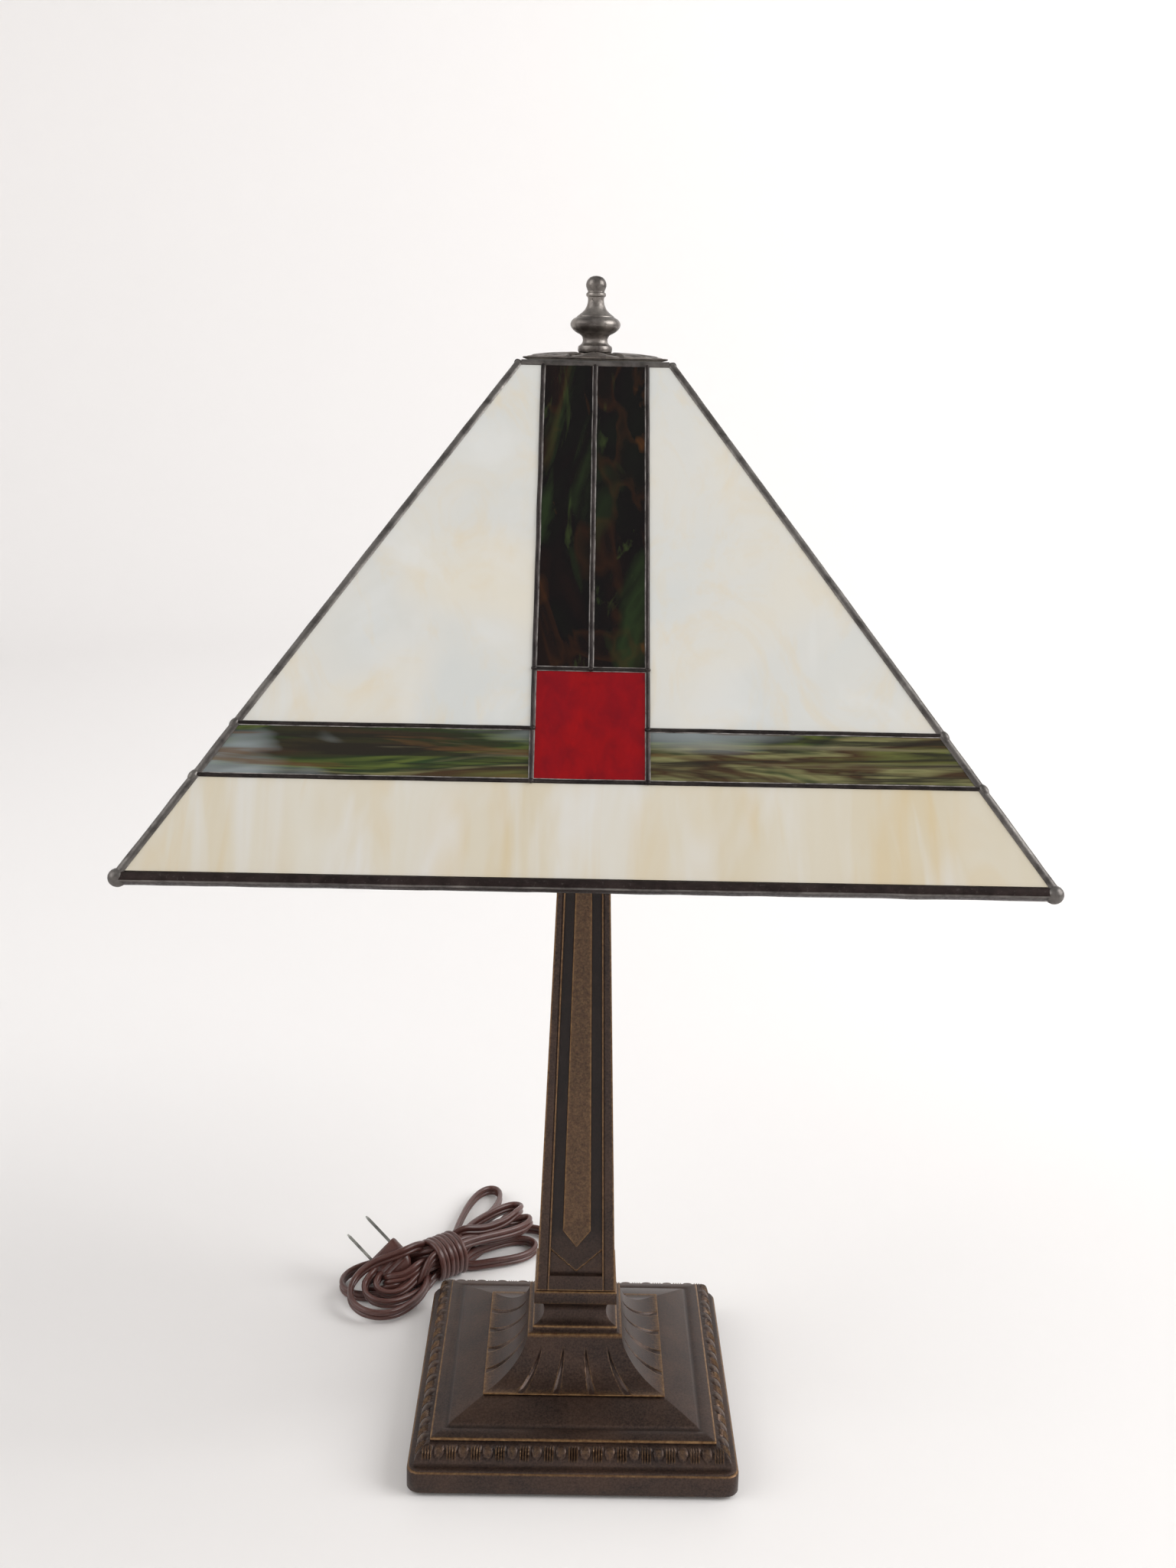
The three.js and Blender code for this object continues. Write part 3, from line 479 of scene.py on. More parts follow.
PLUG_OUT = np.array([-0.719, 0.288, 0.633])
PLUG_SPREAD = np.array([0.686, 0.439, 0.58])
PLUG_SIZE = (18.6, 8.6, 20)
BLADE = {"spacing": 12.7, "length": 17.5, "width": 6.35, "thickness": 1.5}
PLUG_OUT = PLUG_OUT / np.linalg.norm(PLUG_OUT)
PLUG_SPREAD = PLUG_SPREAD - PLUG_OUT * (PLUG_SPREAD @ PLUG_OUT)
PLUG_SPREAD = PLUG_SPREAD / np.linalg.norm(PLUG_SPREAD)
PLUG_NORMAL = np.cross(PLUG_OUT, PLUG_SPREAD)

# Each fold: the slots in the tie that it joins, its direction in degrees, its reach, half its width
# (positive if it goes out on the left), and its heights on the way out, at the end and on the way back.
# The slots are A, B, C from the table up, and 0 to 3 from the front to the back.
FOLDS = [
    ("C3", 224, 57, 15.5, (3.6, 2.8, 5.5, 14.5, 17)),
    ("C3", "C2", 51, 63.5, -6.5, (17.5, 14.5, 14, 14.2, 17)),
    ("C2", "A0", 220, 48, -11.5, (16, 12, 5.5, 2.8, 3.6)),
    ("A0", "A1", 31.5, 57, 9.5, (4.5, 2.8, 2.8, 2.8, 4.5)),
    ("A1", "B3", 197, 54.5, 13, (4, 2.8, 2.8, 4.5, 9)),
    ("B3", "A3", 76, 92, -8, (9.5, 4, 2.8, 2.8, 4.4)),
    ("A3", "A2", 203, 45, -8.5, (4, 2.8, 2.8, 2.8, 4)),
    ("A2", "B2", 58.5, 67.5, 6, (7.5, 8.3, 8.4, 8.6, 10)),
    ("B2", "B1", 210, 36, -6, (9.5, 7.5, 4.5, 5.5, 8)),
    ("B1", "C1", 45, 62.5, 6, (10, 8.4, 8.4, 9, 13)),
    ("C1", "B0", 217, 42, -8, (14, 10, 5.5, 3.5, 7)),
    ("B0", "C0", 39.5, 60, 6.5, (11, 13.8, 13.8, 13.8, 16)),
]
FOLD_STATIONS = ((0.3, 0.5), (0.55, 0.88), (0.8, 1.0), (0.95, 0.66))
CLEAR_ACROSS, CLEAR_UP = 2.85, 5.5

# How the hank settles: its passes, the neighbours along the cord that may touch, the share of each push
# that is taken and the most at once, the gap to the plug's faces, and the pulls of stiffness, length
# and the place where it started
RELAX_PASSES, NEIGHBOURS, PUSH_SHARE, PUSH_MOST, PLUG_GAP = 220, 6, 0.3, 0.6, 1.9
STIFF_PULL, LENGTH_PULL, HOME_PULL = 1.2, 0.12, 0.01


def slot_point(name, offset):
    place = int(name[1]) - 1.5
    x, y = TIE + ALONG * offset + ACROSS * place * SLOT_PITCH
    return (x, y, SLOT_Z[name[0]])


def fold_points(direction, reach, half, heights):
    """Points round one fold. Seen from the tie, it goes out on its left if half is positive."""
    angle = math.radians(direction)
    ahead = np.array([math.cos(angle), math.sin(angle)])
    left = np.array([-math.sin(angle), math.cos(angle)])
    out = []
    z_out = lambda f: np.interp(f, (0.35, 0.7, 1.0), heights[:3])
    z_back = lambda f: np.interp(f, (0.35, 0.7, 1.0), heights[:1:-1])
    for f, wide in FOLD_STATIONS:
        x, y = TIE + ahead * reach * f + left * half * wide
        out.append((x, y, z_out(f)))
    x, y = TIE + ahead * reach
    out.append((x, y, heights[2]))
    for f, wide in reversed(FOLD_STATIONS):
        x, y = TIE + ahead * reach * f - left * half * wide
        out.append((x, y, z_back(f)))
    return out


WRAP = {"across": 9.3, "up": 10.2, "middle": 11.6, "from": 7.6, "to": -7.2, "turns": 2.7, "start": 262}


def wrap_points():
    """The turns round the bundle, from its underside, towards the front, over the top."""
    count = int(WRAP["turns"] * 16)
    out = []
    for i in range(count + 1):
        t = i / count
        angle = math.radians(WRAP["start"]) - t * WRAP["turns"] * 2 * math.pi
        c, s = math.cos(angle), math.sin(angle)
        side = WRAP["across"] * math.copysign(abs(c) ** 0.8, c)
        z = WRAP["middle"] + WRAP["up"] * math.copysign(abs(s) ** 0.8, s)
        x, y = TIE + ALONG * (WRAP["from"] + (WRAP["to"] - WRAP["from"]) * t) + ACROSS * side
        out.append((x, y, z))
    return out


def cord_route():
    """The whole centreline, and for each point whether it lies flat (1) or stands on edge (0)."""
    marks = []
    points = []

    def add(more, flat):
        points.extend(more)
        marks.extend([flat] * len(more))

    add(LEAD[:FLAT_FROM], 0)
    add(LEAD[FLAT_FROM:], 1)
    add(wrap_points(), 1)
    end, *first = FOLDS[0]
    add(fold_points(*first), 0)
    add([slot_point(end, o) for o in (-9, 0, 9)], 0)
    for _, end, direction, reach, half, heights in FOLDS[1:]:
        add(fold_points(direction, reach, half, heights), 0)
        offsets = (9, 0, -9) if direction < 180 else (-9, 0, 9)
        add([slot_point(end, o) for o in offsets], 0)
    rear = PLUG_FACE - PLUG_OUT * PLUG_SIZE[2]
    leave = [rear - PLUG_OUT * 9 + np.array([1, 0, 3]), rear - PLUG_OUT * 4, rear + PLUG_OUT * 3]
    add([(-76.5, 84.5, 12.5)] + [tuple(p) for p in leave], 0)
    return np.array(points, float), np.array(marks, float)


def relax(points, still):
    """Moves the strands of the hank apart where they touch, and keeps them on the table and off the plug."""
    home = points.copy()
    count = len(points)
    near = np.abs(np.subtract.outer(np.arange(count), np.arange(count))) < NEIGHBOURS
    scale = np.array([1 / CLEAR_ACROSS, 1 / CLEAR_ACROSS, 1 / CLEAR_UP])
    free = ~still
    for _ in range(RELAX_PASSES):
        scaled = points * scale
        gap = scaled[:, None, :] - scaled[None, :, :]
        q = np.sqrt((gap ** 2).sum(2)) + 1e-9
        short = np.where((q < 1) & ~near, (1 - q) / q, 0)
        push = (short[:, :, None] * gap).sum(1) / scale * PUSH_SHARE
        points[free] += np.clip(push[free], -PUSH_MOST, PUSH_MOST)
        local = (points - PLUG_FACE) @ np.stack([PLUG_SPREAD, PLUG_NORMAL, PLUG_OUT], axis=1)
        inside = np.abs(local[:, 0]) < PLUG_SIZE[0] / 2 + 1
        inside &= (local[:, 2] < 1.5) & (local[:, 2] > -PLUG_SIZE[2] + 1)
        deep = PLUG_SIZE[1] / 2 + PLUG_GAP - np.abs(local[:, 1])
        out = np.where(inside & (deep > 0), deep * np.sign(local[:, 1]), 0)
        points[free] += PUSH_SHARE * (out[:, None] * PLUG_NORMAL)[free]
        bend = np.zeros_like(points)
        bend[2:-2] = (-points[:-4] + 4 * points[1:-3] - 6 * points[2:-2]
                      + 4 * points[3:-1] - points[4:]) / 16
        stretch = np.zeros_like(points)
        stretch[1:-1] = (points[:-2] + points[2:]) / 2 - points[1:-1]
        points[free] += (STIFF_PULL * bend[free] + LENGTH_PULL * stretch[free]
                         + HOME_PULL * (home - points)[free])
        points[free, 2] = np.maximum(points[free, 2], CLEAR_UP / 2)
    return points


def cord_frames(path, flat, wrap_starts):
    """The directions along the cord and across its width at each point, never jumping round."""
    ahead = np.gradient(path, axis=0)
    ahead /= np.linalg.norm(ahead, axis=1)[:, None]
    wide = []
    last = None
    for i, t in enumerate(ahead):
        upright = np.array([0, 0, 1.0])
        lying = np.cross(t, [0, 0, 1.0]) if abs(t[2]) < 0.5 and i < wrap_starts else np.array([*ALONG, 0])
        want = upright * (1 - flat[i]) + lying * flat[i]
        want = want - t * (want @ t)
        size = np.linalg.norm(want)
        if last is not None:
            carried = last - t * (last @ t)
            carried /= np.linalg.norm(carried)
            if want @ carried < 0:
                want = -want
            want = carried + 0.18 * want * min(size, 1)
            size = np.linalg.norm(want)
        last = want / size
        wide.append(last)
    return ahead, np.array(wide)


LOBE_ARC, CORD_WEB = 128, 0.95


def cord_section():
    """Two round wires joined by a narrow web: the outline, once round."""
    lobe = CORD_THICK / 2
    centre = CORD_WIDTH / 2 - lobe
    out = []
    for side in (1, -1):
        for i in range(9):
            angle = side * math.radians(-LOBE_ARC + 2 * LOBE_ARC * i / 8) + (0 if side > 0 else math.pi)
            out.append((side * centre + lobe * math.cos(angle), lobe * math.sin(angle)))
        out.append((0, side * CORD_WEB))
    return out


# Steps along the route before and after it settles, the half size of the tie's fixed stretch, and how many
# points of the wrap pass before its flat side follows the tie instead of the table
ROUTE_STEP, PATH_STEP = 2.2, 1.3
TIE_HALF_LENGTH, TIE_HALF_WIDTH = 9, 14
INTO_WRAP = 40


def build_route():
    """The settled centreline, how flat it lies at each point, and the point where the wrap has begun."""
    raw, marks = cord_route()
    fine = spline(raw, ROUTE_STEP)
    gaps = np.linalg.norm(fine[:, None, :] - raw[None, :, :], axis=2)
    # Match each fine point to the raw point that it follows, in order
    at, order = 0, []
    for row in gaps:
        at += int(np.argmin(row[at:at + 3]))
        order.append(at)
    flat = marks[order]
    from_tie = fine[:, :2] - TIE
    in_tie = (np.abs(from_tie @ ALONG) < TIE_HALF_LENGTH) & (np.abs(from_tie @ ACROSS) < TIE_HALF_WIDTH)
    first, last = np.argmax(flat > 0), len(flat) - 1 - np.argmax(flat[::-1] > 0)
    still = in_tie | (np.arange(len(fine)) <= last + 1)
    still[-5:] = True
    path = even(smoothed(relax(fine.copy(), still), 3), PATH_STEP)
    flat = np.interp(np.linspace(0, len(fine) - 1, len(path)), np.arange(len(fine)), flat)
    return path, running_mean(flat, 4), int(first * len(path) / len(fine)) + INTO_WRAP


TABLE_GAP, LIFT_REACH = 0.03, 7


def off_the_table(path, ahead, wide):
    """Lifts the path wherever the section laid round it would go into the table."""
    thin = np.cross(ahead, wide)
    section = np.array(cord_section())
    lowest = (path[:, 2:3] + wide[:, 2:3] * section[:, 0] + thin[:, 2:3] * section[:, 1]).min(axis=1)
    lift = np.maximum(TABLE_GAP - lowest, 0)
    widest = np.array([lift[max(i - LIFT_REACH, 0):i + LIFT_REACH + 1].max() for i in range(len(lift))])
    return path + np.maximum(running_mean(widest, LIFT_REACH), lift)[:, None] * (0, 0, 1)


route, lies_flat, wrap_starts = build_route()
ahead, wide = cord_frames(route, lies_flat, wrap_starts)
route = off_the_table(route, ahead, wide)


def build_cord():
    section = cord_section()
    rows = []
    for p, t, w in zip(route, ahead, wide):
        side = np.cross(t, w)
        rows.append([p + w * a + side * b for a, b in section])
    points, faces = rings(rows)
    obj = piece("cord", points, faces, VINYL, "stand", 60)
    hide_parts("cord_lead", "cord_hank")
    return obj


cord = build_cord()


def rounded_ring(half_x, half_y, corner, z, count=5):
    out = []
    corner = min(corner, half_x * 0.95, half_y * 0.95)
    for cx, cy, start in ((1, 1, 0), (-1, 1, 90), (-1, -1, 180), (1, -1, 270)):
        for i in range(count):
            angle = math.radians(start + 90 * i / (count - 1))
            out.append((
                cx * (half_x - corner) + corner * math.cos(angle),
                cy * (half_y - corner) + corner * math.sin(angle), z,
            ))
    return out


def in_plug(points):
    turn = np.stack([PLUG_SPREAD, PLUG_NORMAL, PLUG_OUT])
    return [PLUG_FACE + np.asarray(p) @ turn for p in points]


GRIP_FACES = (
    (0, 1, 3, 2), (2, 3, 5, 4), (6, 7, 1, 0), (4, 5, 9, 8), (6, 0, 2, 4, 8), (1, 7, 9, 5, 3), (6, 8, 9, 7),
)


def build_plug():
    """The plug's body with its grip ribs, and its two blades."""
    w, t, length = PLUG_SIZE[0] / 2, PLUG_SIZE[1] / 2, PLUG_SIZE[2]
    levels = [
        (0.45, 0.52, -length - 3), (0.5, 0.56, -length), (0.58, 0.7, -length * 0.86),
        (0.86, 0.9, -length * 0.7),
        (0.97, 1, -length * 0.55), (1, 1, -length * 0.4), (1, 1, -1.2), (0.97, 0.94, -0.4), (0.92, 0.86, 0),
    ]
    sections = [in_plug(rounded_ring(w * a, t * b, 2.6, z)) for a, b, z in levels]
    points, faces = rings(sections)
    for level in (-0.34, -0.46, -0.58):
        for side in (-1, 1):
            z = length * level
            grip = [(x * w * 0.62, side * (t + 0.02 + 0.4 * (1 - abs(y))), z + y * 0.8)
                    for y in (-1, 0, 1) for x in (-1, 1)]
            low = [(x * w * 0.62, side * (t - 0.6), z + y * 0.8) for y in (-1, 1) for x in (-1, 1)]
            start = len(points)
            points.extend(in_plug(grip + low))
            faces.extend([tuple(start + k for k in face) for face in GRIP_FACES])
    body = piece("plug_body", points, faces, VINYL, "stand", 50)
    blades, blade_faces = [], []
    for side in (-1, 1):
        x = side * BLADE["spacing"] / 2
        h, b, tip = BLADE["thickness"] / 2, BLADE["width"] / 2, BLADE["length"]
        rows = [[(x + i * h * thin, j * b * low, z) for i, j in ((-1, -1), (1, -1), (1, 1), (-1, 1))]
                for thin, low, z in ((1, 1, -1), (1, 1, tip - 2), (0.5, 0.7, tip))]
        p, f = rings([in_plug(r) for r in rows])
        start = len(blades)
        blades.extend(p)
        blade_faces.extend([tuple(start + k for k in face) for face in f])
    prongs = piece("plug_blades", blades, blade_faces, STEEL, "stand", 30)
    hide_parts("plug")
    return body, prongs


plug_body, plug_blades = build_plug()


def build_bushing():
    """The strain relief: a ribbed sleeve that tapers onto the cord behind the plinth."""
    profile = [(0, 60.2), (4.9, 60.2), (4.9, 62.2), (3.4, 62.2), (3.4, 70.1), (4.9, 70.1), (5.0, 71),
               (4.9, 72)]
    for i in range(6):
        y = 72.3 + i * 2.7
        r = 4.8 - i * 0.17
        profile += [(r - 0.5, y), (r - 0.5, y + 0.8), (r, y + 1.1), (r, y + 2.3)]
    profile += [(3.85, 90.3), (3.6, 91), (0, 91)]
    points, faces = lathe(profile, 32)
    points = [(x, z, 6.3 + y) for x, y, z in points]
    obj = piece("cord_sleeve", points, faces, VINYL, "stand", 40)
    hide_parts("cord_bushing")
    return obj


sleeve = build_bushing()


# ---------------------------------------------------------------- gathered meshes
class Pile:
    """Points and faces gathered from many strokes into one mesh, each face with its material number."""

    def __init__(self, *materials):
        self.materials = materials
        self.points, self.faces, self.kinds, self.wear = [], [], [], []

    def add(self, points, faces, kind=0, wear=0.0):
        start = len(self.points)
        self.points.extend(tuple(p) for p in points)
        self.faces.extend(tuple(start + k for k in face) for face in faces)
        self.kinds.extend(kind if hasattr(kind, "__len__") else [kind] * len(faces))
        self.wear.extend(wear if hasattr(wear, "__len__") else [wear] * len(points))

    def make(self, name, body, smooth_angle=35.0, nodes=()):
        extra = [(other, [i for i, kind in enumerate(self.kinds) if kind == number])
                 for number, other in enumerate(self.materials[1:], 1)]
        obj = piece(name, self.points, self.faces, self.materials[0], body, smooth_angle, self.wear,
                    extra)
        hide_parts(*nodes)


def wobble(seed, along, pace):
    return noise.noise(Vector((along * pace, seed * 7.31, seed * 1.7)))


def ball(centre, radii, axes=None, count=16):
    """A round lump: points and faces of a stretched sphere."""
    arc = [math.pi * i / 10 for i in range(11)]
    points, faces = lathe([(math.sin(a), -math.cos(a)) for a in arc], count)
    turned = np.eye(3) if axes is None else np.array(axes)
    return [np.asarray(centre) + (np.asarray(p) * radii) @ turned for p in points], faces


def turned_piece(name, profile, material, body, nodes, segments=64, smooth_angle=35.0, at=(0, 0)):
    points, faces = lathe(profile, segments, at)
    obj = piece(name, points, faces, material, body, smooth_angle, [0.0] * len(points))
    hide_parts(*nodes)


def dress(node, material, bevel=0.0):
    """Gives a CAD node its finish and, with a bevel in millimetres, softens its edges."""
    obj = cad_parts[node]
    obj.data.materials.clear()
    obj.data.materials.append(material)
    if bevel:
        soft = obj.modifiers.new("soft_edges", "BEVEL")
        soft.width, soft.segments, soft.limit_method = MM * bevel, 2, "ANGLE"
        soft.angle_limit = math.radians(32)


# ---------------------------------------------------------------- shade
SHADE = {"rim_half": 152.4, "rim_z": 296.3, "top_half": 28.2, "top_z": 460.6}
GLASS = 3.0
COLUMN_HALF = 19.3
BAND, BAND_TOP, SQUARE_TOP = 35.9, 55.1, 77.4
RUN_IN, RISE = SHADE["rim_half"] - SHADE["top_half"], SHADE["top_z"] - SHADE["rim_z"]
SLOPE, SLANT = math.atan2(RISE, RUN_IN), math.hypot(RUN_IN, RISE)
COLLAR = SLANT - 1.7
SIDES = ("front", "right", "back", "left")
GLASS_KINDS = {
    "lower": beige_glass, "band_a": green_glass, "band_b": green_glass, "square": red_glass,
    "dark_a": dark_glass, "dark_b": dark_glass, "cream_a": cream_glass, "cream_b": cream_glass,
}


def hip_at(s):
    return SHADE["rim_half"] - s * math.cos(SLOPE)


def side_frame(turn, half, z, lean):
    """A side's own axes: x along it, y up its slope and z out of it."""
    return quarter_turn(turn, 4) @ Matrix.Translation((0, -half, z)) @ Matrix.Rotation(lean, 4, "X")


SEAM_GROWTH, HIP_GROWTH, NEAR_HIP, RIM_TOP = 0.4, 1.05, 4.3, 3.0


def build_pane(side, turn, kind, material):
    """A pane cut a little larger than its CAD node, up under the solder, with its edges dressed."""
    node = f"glass_{side}_{kind}"
    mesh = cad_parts[node].data.copy()
    place = side_frame(turn, SHADE["rim_half"], SHADE["rim_z"], SLOPE)
    back = place.inverted()
    local = [back @ (v.co / MM) for v in mesh.vertices]
    middle = sum(local, Vector()) / len(local)
    for vertex, p in zip(mesh.vertices, local):
        at_hip = abs(p.x) > hip_at(p.y) - NEAR_HIP
        p.x += math.copysign(HIP_GROWTH if at_hip else SEAM_GROWTH, p.x if at_hip else p.x - middle.x)
        if p.y > RIM_TOP:
            p.y += math.copysign(SEAM_GROWTH, p.y - middle.y)
        vertex.co = MM * (place @ p)
    mesh.materials.clear()
    mesh.materials.append(material)
    obj = finish_piece(f"pane_{side}_{kind}", mesh, "shade")
    soft = obj.modifiers.new("dressed_edges", "BEVEL")
    soft.width, soft.segments, soft.limit_method = MM * 0.2, 2, "ANGLE"
    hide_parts(node)


def build_panes():
    for turn, side in enumerate(SIDES):
        made = {}
        for kind, glass in GLASS_KINDS.items():
            if glass not in made:
                made[glass] = glass(turn, 170 * turn)
            build_pane(side, turn, kind, made[glass])


BEAD_HALF, BEAD_HEIGHT, FOIL_WIDTH, LAP = 0.62, 0.75, 0.3, 0.14
HIP_SECTION = ((2.15, -0.5), (2.15, 0.1), (1.8, 0.42), (1.2, 0.62), (0.5, 0.55))


def bead(pile, place, a, b, seed, foils, face=1, half=BEAD_HALF, height=BEAD_HEIGHT, tone=0):
    """A rounded run of solder from a to b on the outer (1) or inner (-1) face of the glass.

    foils says on which side of the run, left or right, the edge of the copper foil shows.
    """
    a, b = Vector(a), Vector(b)
    length = (b - a).length
    along = (b - a) / length
    across = Vector((-along.y, along.x))
    count = max(int(length / 1.3), 2)
    arch = [(-1, 0.16), (-0.86, 0.55), (-0.55, 0.86), (0, 1), (0.55, 0.86), (0.86, 0.55), (1, 0.16)]
    low, high = half + (FOIL_WIDTH if foils[0] else LAP), half + (FOIL_WIDTH if foils[1] else LAP)
    sections = []
    for i in range(count + 1):
        s = length * i / count
        wide = half * (1 + 0.16 * wobble(seed, s, 0.16))
        tall = height * (1 + 0.3 * wobble(seed + 3, s, 0.22))
        sway = 0.12 * wobble(seed + 5, s, 0.07)
        row = [(-low, -0.3), (-low, 0.1), *((u * wide, v * tall) for u, v in arch), (high, 0.1),
               (high, -0.3)]
        ring = []
        for u, v in row:
            spot = a + along * s + across * (u + sway)
            depth = v if face > 0 else -GLASS - v
            ring.append(place @ Vector((spot.x, spot.y, depth)))
        sections.append(ring)
    points, faces = rings(sections)
    size = len(sections[0])
    kinds = [1 if (j == 1 and foils[0]) or (j == size - 3 and foils[1]) else tone
             for _ in range(count) for j in range(size)]
    pile.add(points, faces, kinds + [0, 0])


def web(pile, place, a, b):
    """The solder between the edges of two panes."""
    a, b = Vector(a), Vector(b)
    along = (b - a).normalized()
    across = Vector((-along.y, along.x)) * 0.55
    sections = [[place @ Vector((spot.x, spot.y, z)) for spot, z in (
        (end - across, 0), (end + across, 0), (end + across, -GLASS), (end - across, -GLASS))]
        for end in (a, b)]
    pile.add(*rings(sections))


def hip(pile, turn):
    """The rounded solder down a corner of the shade, its inner fillet and the lumps on it."""
    around = quarter_turn(turn)
    down = Vector((-math.cos(SLOPE), math.cos(SLOPE), math.sin(SLOPE))).normalized()
    normals = (Vector((0, -math.sin(SLOPE), math.cos(SLOPE))), Vector((math.sin(SLOPE), 0, math.cos(SLOPE))))
    inward = (down.cross(normals[0]), normals[1].cross(down))
    inward = (inward[0] if inward[0].x < 0 else -inward[0], inward[1] if inward[1].y > 0 else -inward[1])
    out = (normals[0] + normals[1]).normalized()
    side = down.cross(out)
    length = COLLAR + 0.8
    count = int(length / 1.8)
    shell, fillet = [], []
    for i in range(count + 1):
        s = 1.5 + (length - 1.5) * i / count
        corner = Vector((hip_at(s), -hip_at(s), SHADE["rim_z"] + s * math.sin(SLOPE)))
        fat = 1 + 0.22 * wobble(turn + 20, s, 0.09) + 0.1 * wobble(turn + 30, s, 0.35)
        ring = [corner + inward[0] * d + normals[0] * h * fat for d, h in HIP_SECTION]
        ring.append(corner + out * (0.36 * fat))
        ring += [corner + inward[1] * d + normals[1] * h * fat for d, h in reversed(HIP_SECTION)]
        ring.append(corner - out * 3.2)
        shell.append([around @ p for p in ring])
        middle = corner - out * 3.8
        fillet.append([around @ (middle + (out * math.cos(k) + side * math.sin(k)) * 1.7 * fat)
                       for k in (2 * math.pi * j / 10 for j in range(10))])
    pile.add(*rings(shell), 2)
    pile.add(*rings(fillet), 0)
    for s, size in ((BAND, 1.0), (BAND_TOP, 0.95), (COLLAR - 0.4, 0.6)):
        corner = Vector((hip_at(s), -hip_at(s), SHADE["rim_z"] + s * math.sin(SLOPE))) - out * 0.5
        lump, lump_faces = ball(corner, (1.5 * size, 1.7 * size, 2.3 * size), (out, side, down))
        pile.add([around @ Vector(p) for p in lump], lump_faces, 2)


# Half the collar bead's width, its height and its material's number in the pile
COLLAR_BEAD = (1.1, 0.9, 2)


def build_solder():
    pile = Pile(SOLDER, FOIL, HIP_SOLDER)
    for turn in range(4):
        place = side_frame(turn, SHADE["rim_half"], SHADE["rim_z"], SLOPE)
        w, x = COLUMN_HALF, lambda s: hip_at(s) - 1.8
        seams = [
            ((-x(BAND), BAND), (x(BAND), BAND), (False, True)),
            ((-x(BAND_TOP), BAND_TOP), (-w, BAND_TOP), (True, False)),
            ((w, BAND_TOP), (x(BAND_TOP), BAND_TOP), (True, False)),
            ((-w, SQUARE_TOP), (w, SQUARE_TOP), (True, True)),
            ((-w, BAND), (-w, BAND_TOP), (True, True)),
            ((w, BAND), (w, BAND_TOP), (True, True)),
            ((-w, BAND_TOP), (-w, COLLAR), (True, False)),
            ((w, BAND_TOP), (w, COLLAR), (False, True)),
            ((0, SQUARE_TOP), (0, COLLAR), (True, True)),
        ]
        for number, (a, b, foils) in enumerate(seams):
            seed = 40 * turn + number
            bead(pile, place, a, b, seed, foils)
            bead(pile, place, a, b, seed + 20, (False, False), -1)
            web(pile, place, a, b)
        collar = ((-x(COLLAR), COLLAR), (x(COLLAR), COLLAR))
        for face in (1, -1):
            bead(pile, place, *collar, 40 * turn + 12 + face, (False, False), face, *COLLAR_BEAD)
        web(pile, place, *collar)
        crossings = [(sx, s) for s in (BAND, BAND_TOP, SQUARE_TOP) for sx in (-w, w)] + [(0, SQUARE_TOP)]
        for number, (sx, s) in enumerate(crossings):
            centre = place @ Vector((sx, s, 0.25))
            size = 1.0 + 0.12 * wobble(number + 9 * turn, 3.0, 1.0)
            pile.add(*ball(centre, (1.1 * size, 1.1 * size, 0.85)))
        hip(pile, turn)
    pile.make("solder", "shade", 40, ["solder_framework"])


RIM_SECTION = (
    (-1.75, -3.2), (-1.8, -1.5), (-1.75, 0.15), (-1.3, 0.62), (-0.7, 0.8), (0.5, 0.82), (1.2, 0.7),
    (1.75, 0.25), (1.8, -1.5), (1.75, -3.3), (1.3, -3.75), (-1.3, -3.75),
)


def build_rim():
    """The folded strip round the lower edge and the ball of solder on each corner."""
    pile = Pile(RIM_SOLDER, HIP_SOLDER)
    mid = hip_at(0) - GLASS / 2 / math.sin(SLOPE) + GLASS / 2 * math.cos(SLOPE) * RUN_IN / RISE
    end = mid - 0.5
    for turn in range(4):
        place = side_frame(turn, SHADE["rim_half"], SHADE["rim_z"], SLOPE)
        count = 110
        sections = []
        for i in range(count + 1):
            x = -end + 2 * end * i / count
            sag = 0.22 * wobble(60 + turn, x, 0.012) + 0.06 * wobble(64 + turn, x, 0.12)
            fat = 1 + 0.06 * wobble(70 + turn, x, 0.1)
            sections.append([place @ Vector((x, y * fat + sag, z * fat)) for y, z in RIM_SECTION])
        points, faces = rings(sections)
        size = len(RIM_SECTION)
        # Face 2, the lower outer chamfer, takes the paler hip solder: a painted highlight along the rim's
        # lower edge.
        kinds = [1 if j == 2 else 0 for _ in range(count) for j in range(size)] + [0, 0]
        pile.add(points, faces, kinds)
        lump, lump_faces = ball(place @ Vector((end, 0, -1.5)), (3.2, 3.2, 3.1), count=28)
        pile.add(lump, lump_faces, 1)
    pile.make("rim", "shade", 40, ["rim_channel"])


# The dome over the vent plate. A vent or a leaf is where it starts, its length, half its width as a share of
# the cap's eighth, and how full its sides are
DOME = {"outer": 26.2, "inner": 4.3, "flat_to": 8.4, "z": 463.2, "fall": 1.5, "milled_from": 24.6}
VENT, LEAF = (10.5, 13.5, 0.2, 0.8), (9.5, 15.5, 0.3, 0.7)


def petal(r, start, length, half, fullness):
    """Half the width of a vent or a leaf at a radius."""
    return half * math.sin(math.pi * min(max((r - start) / length, 0), 1)) ** fullness + 1e-6


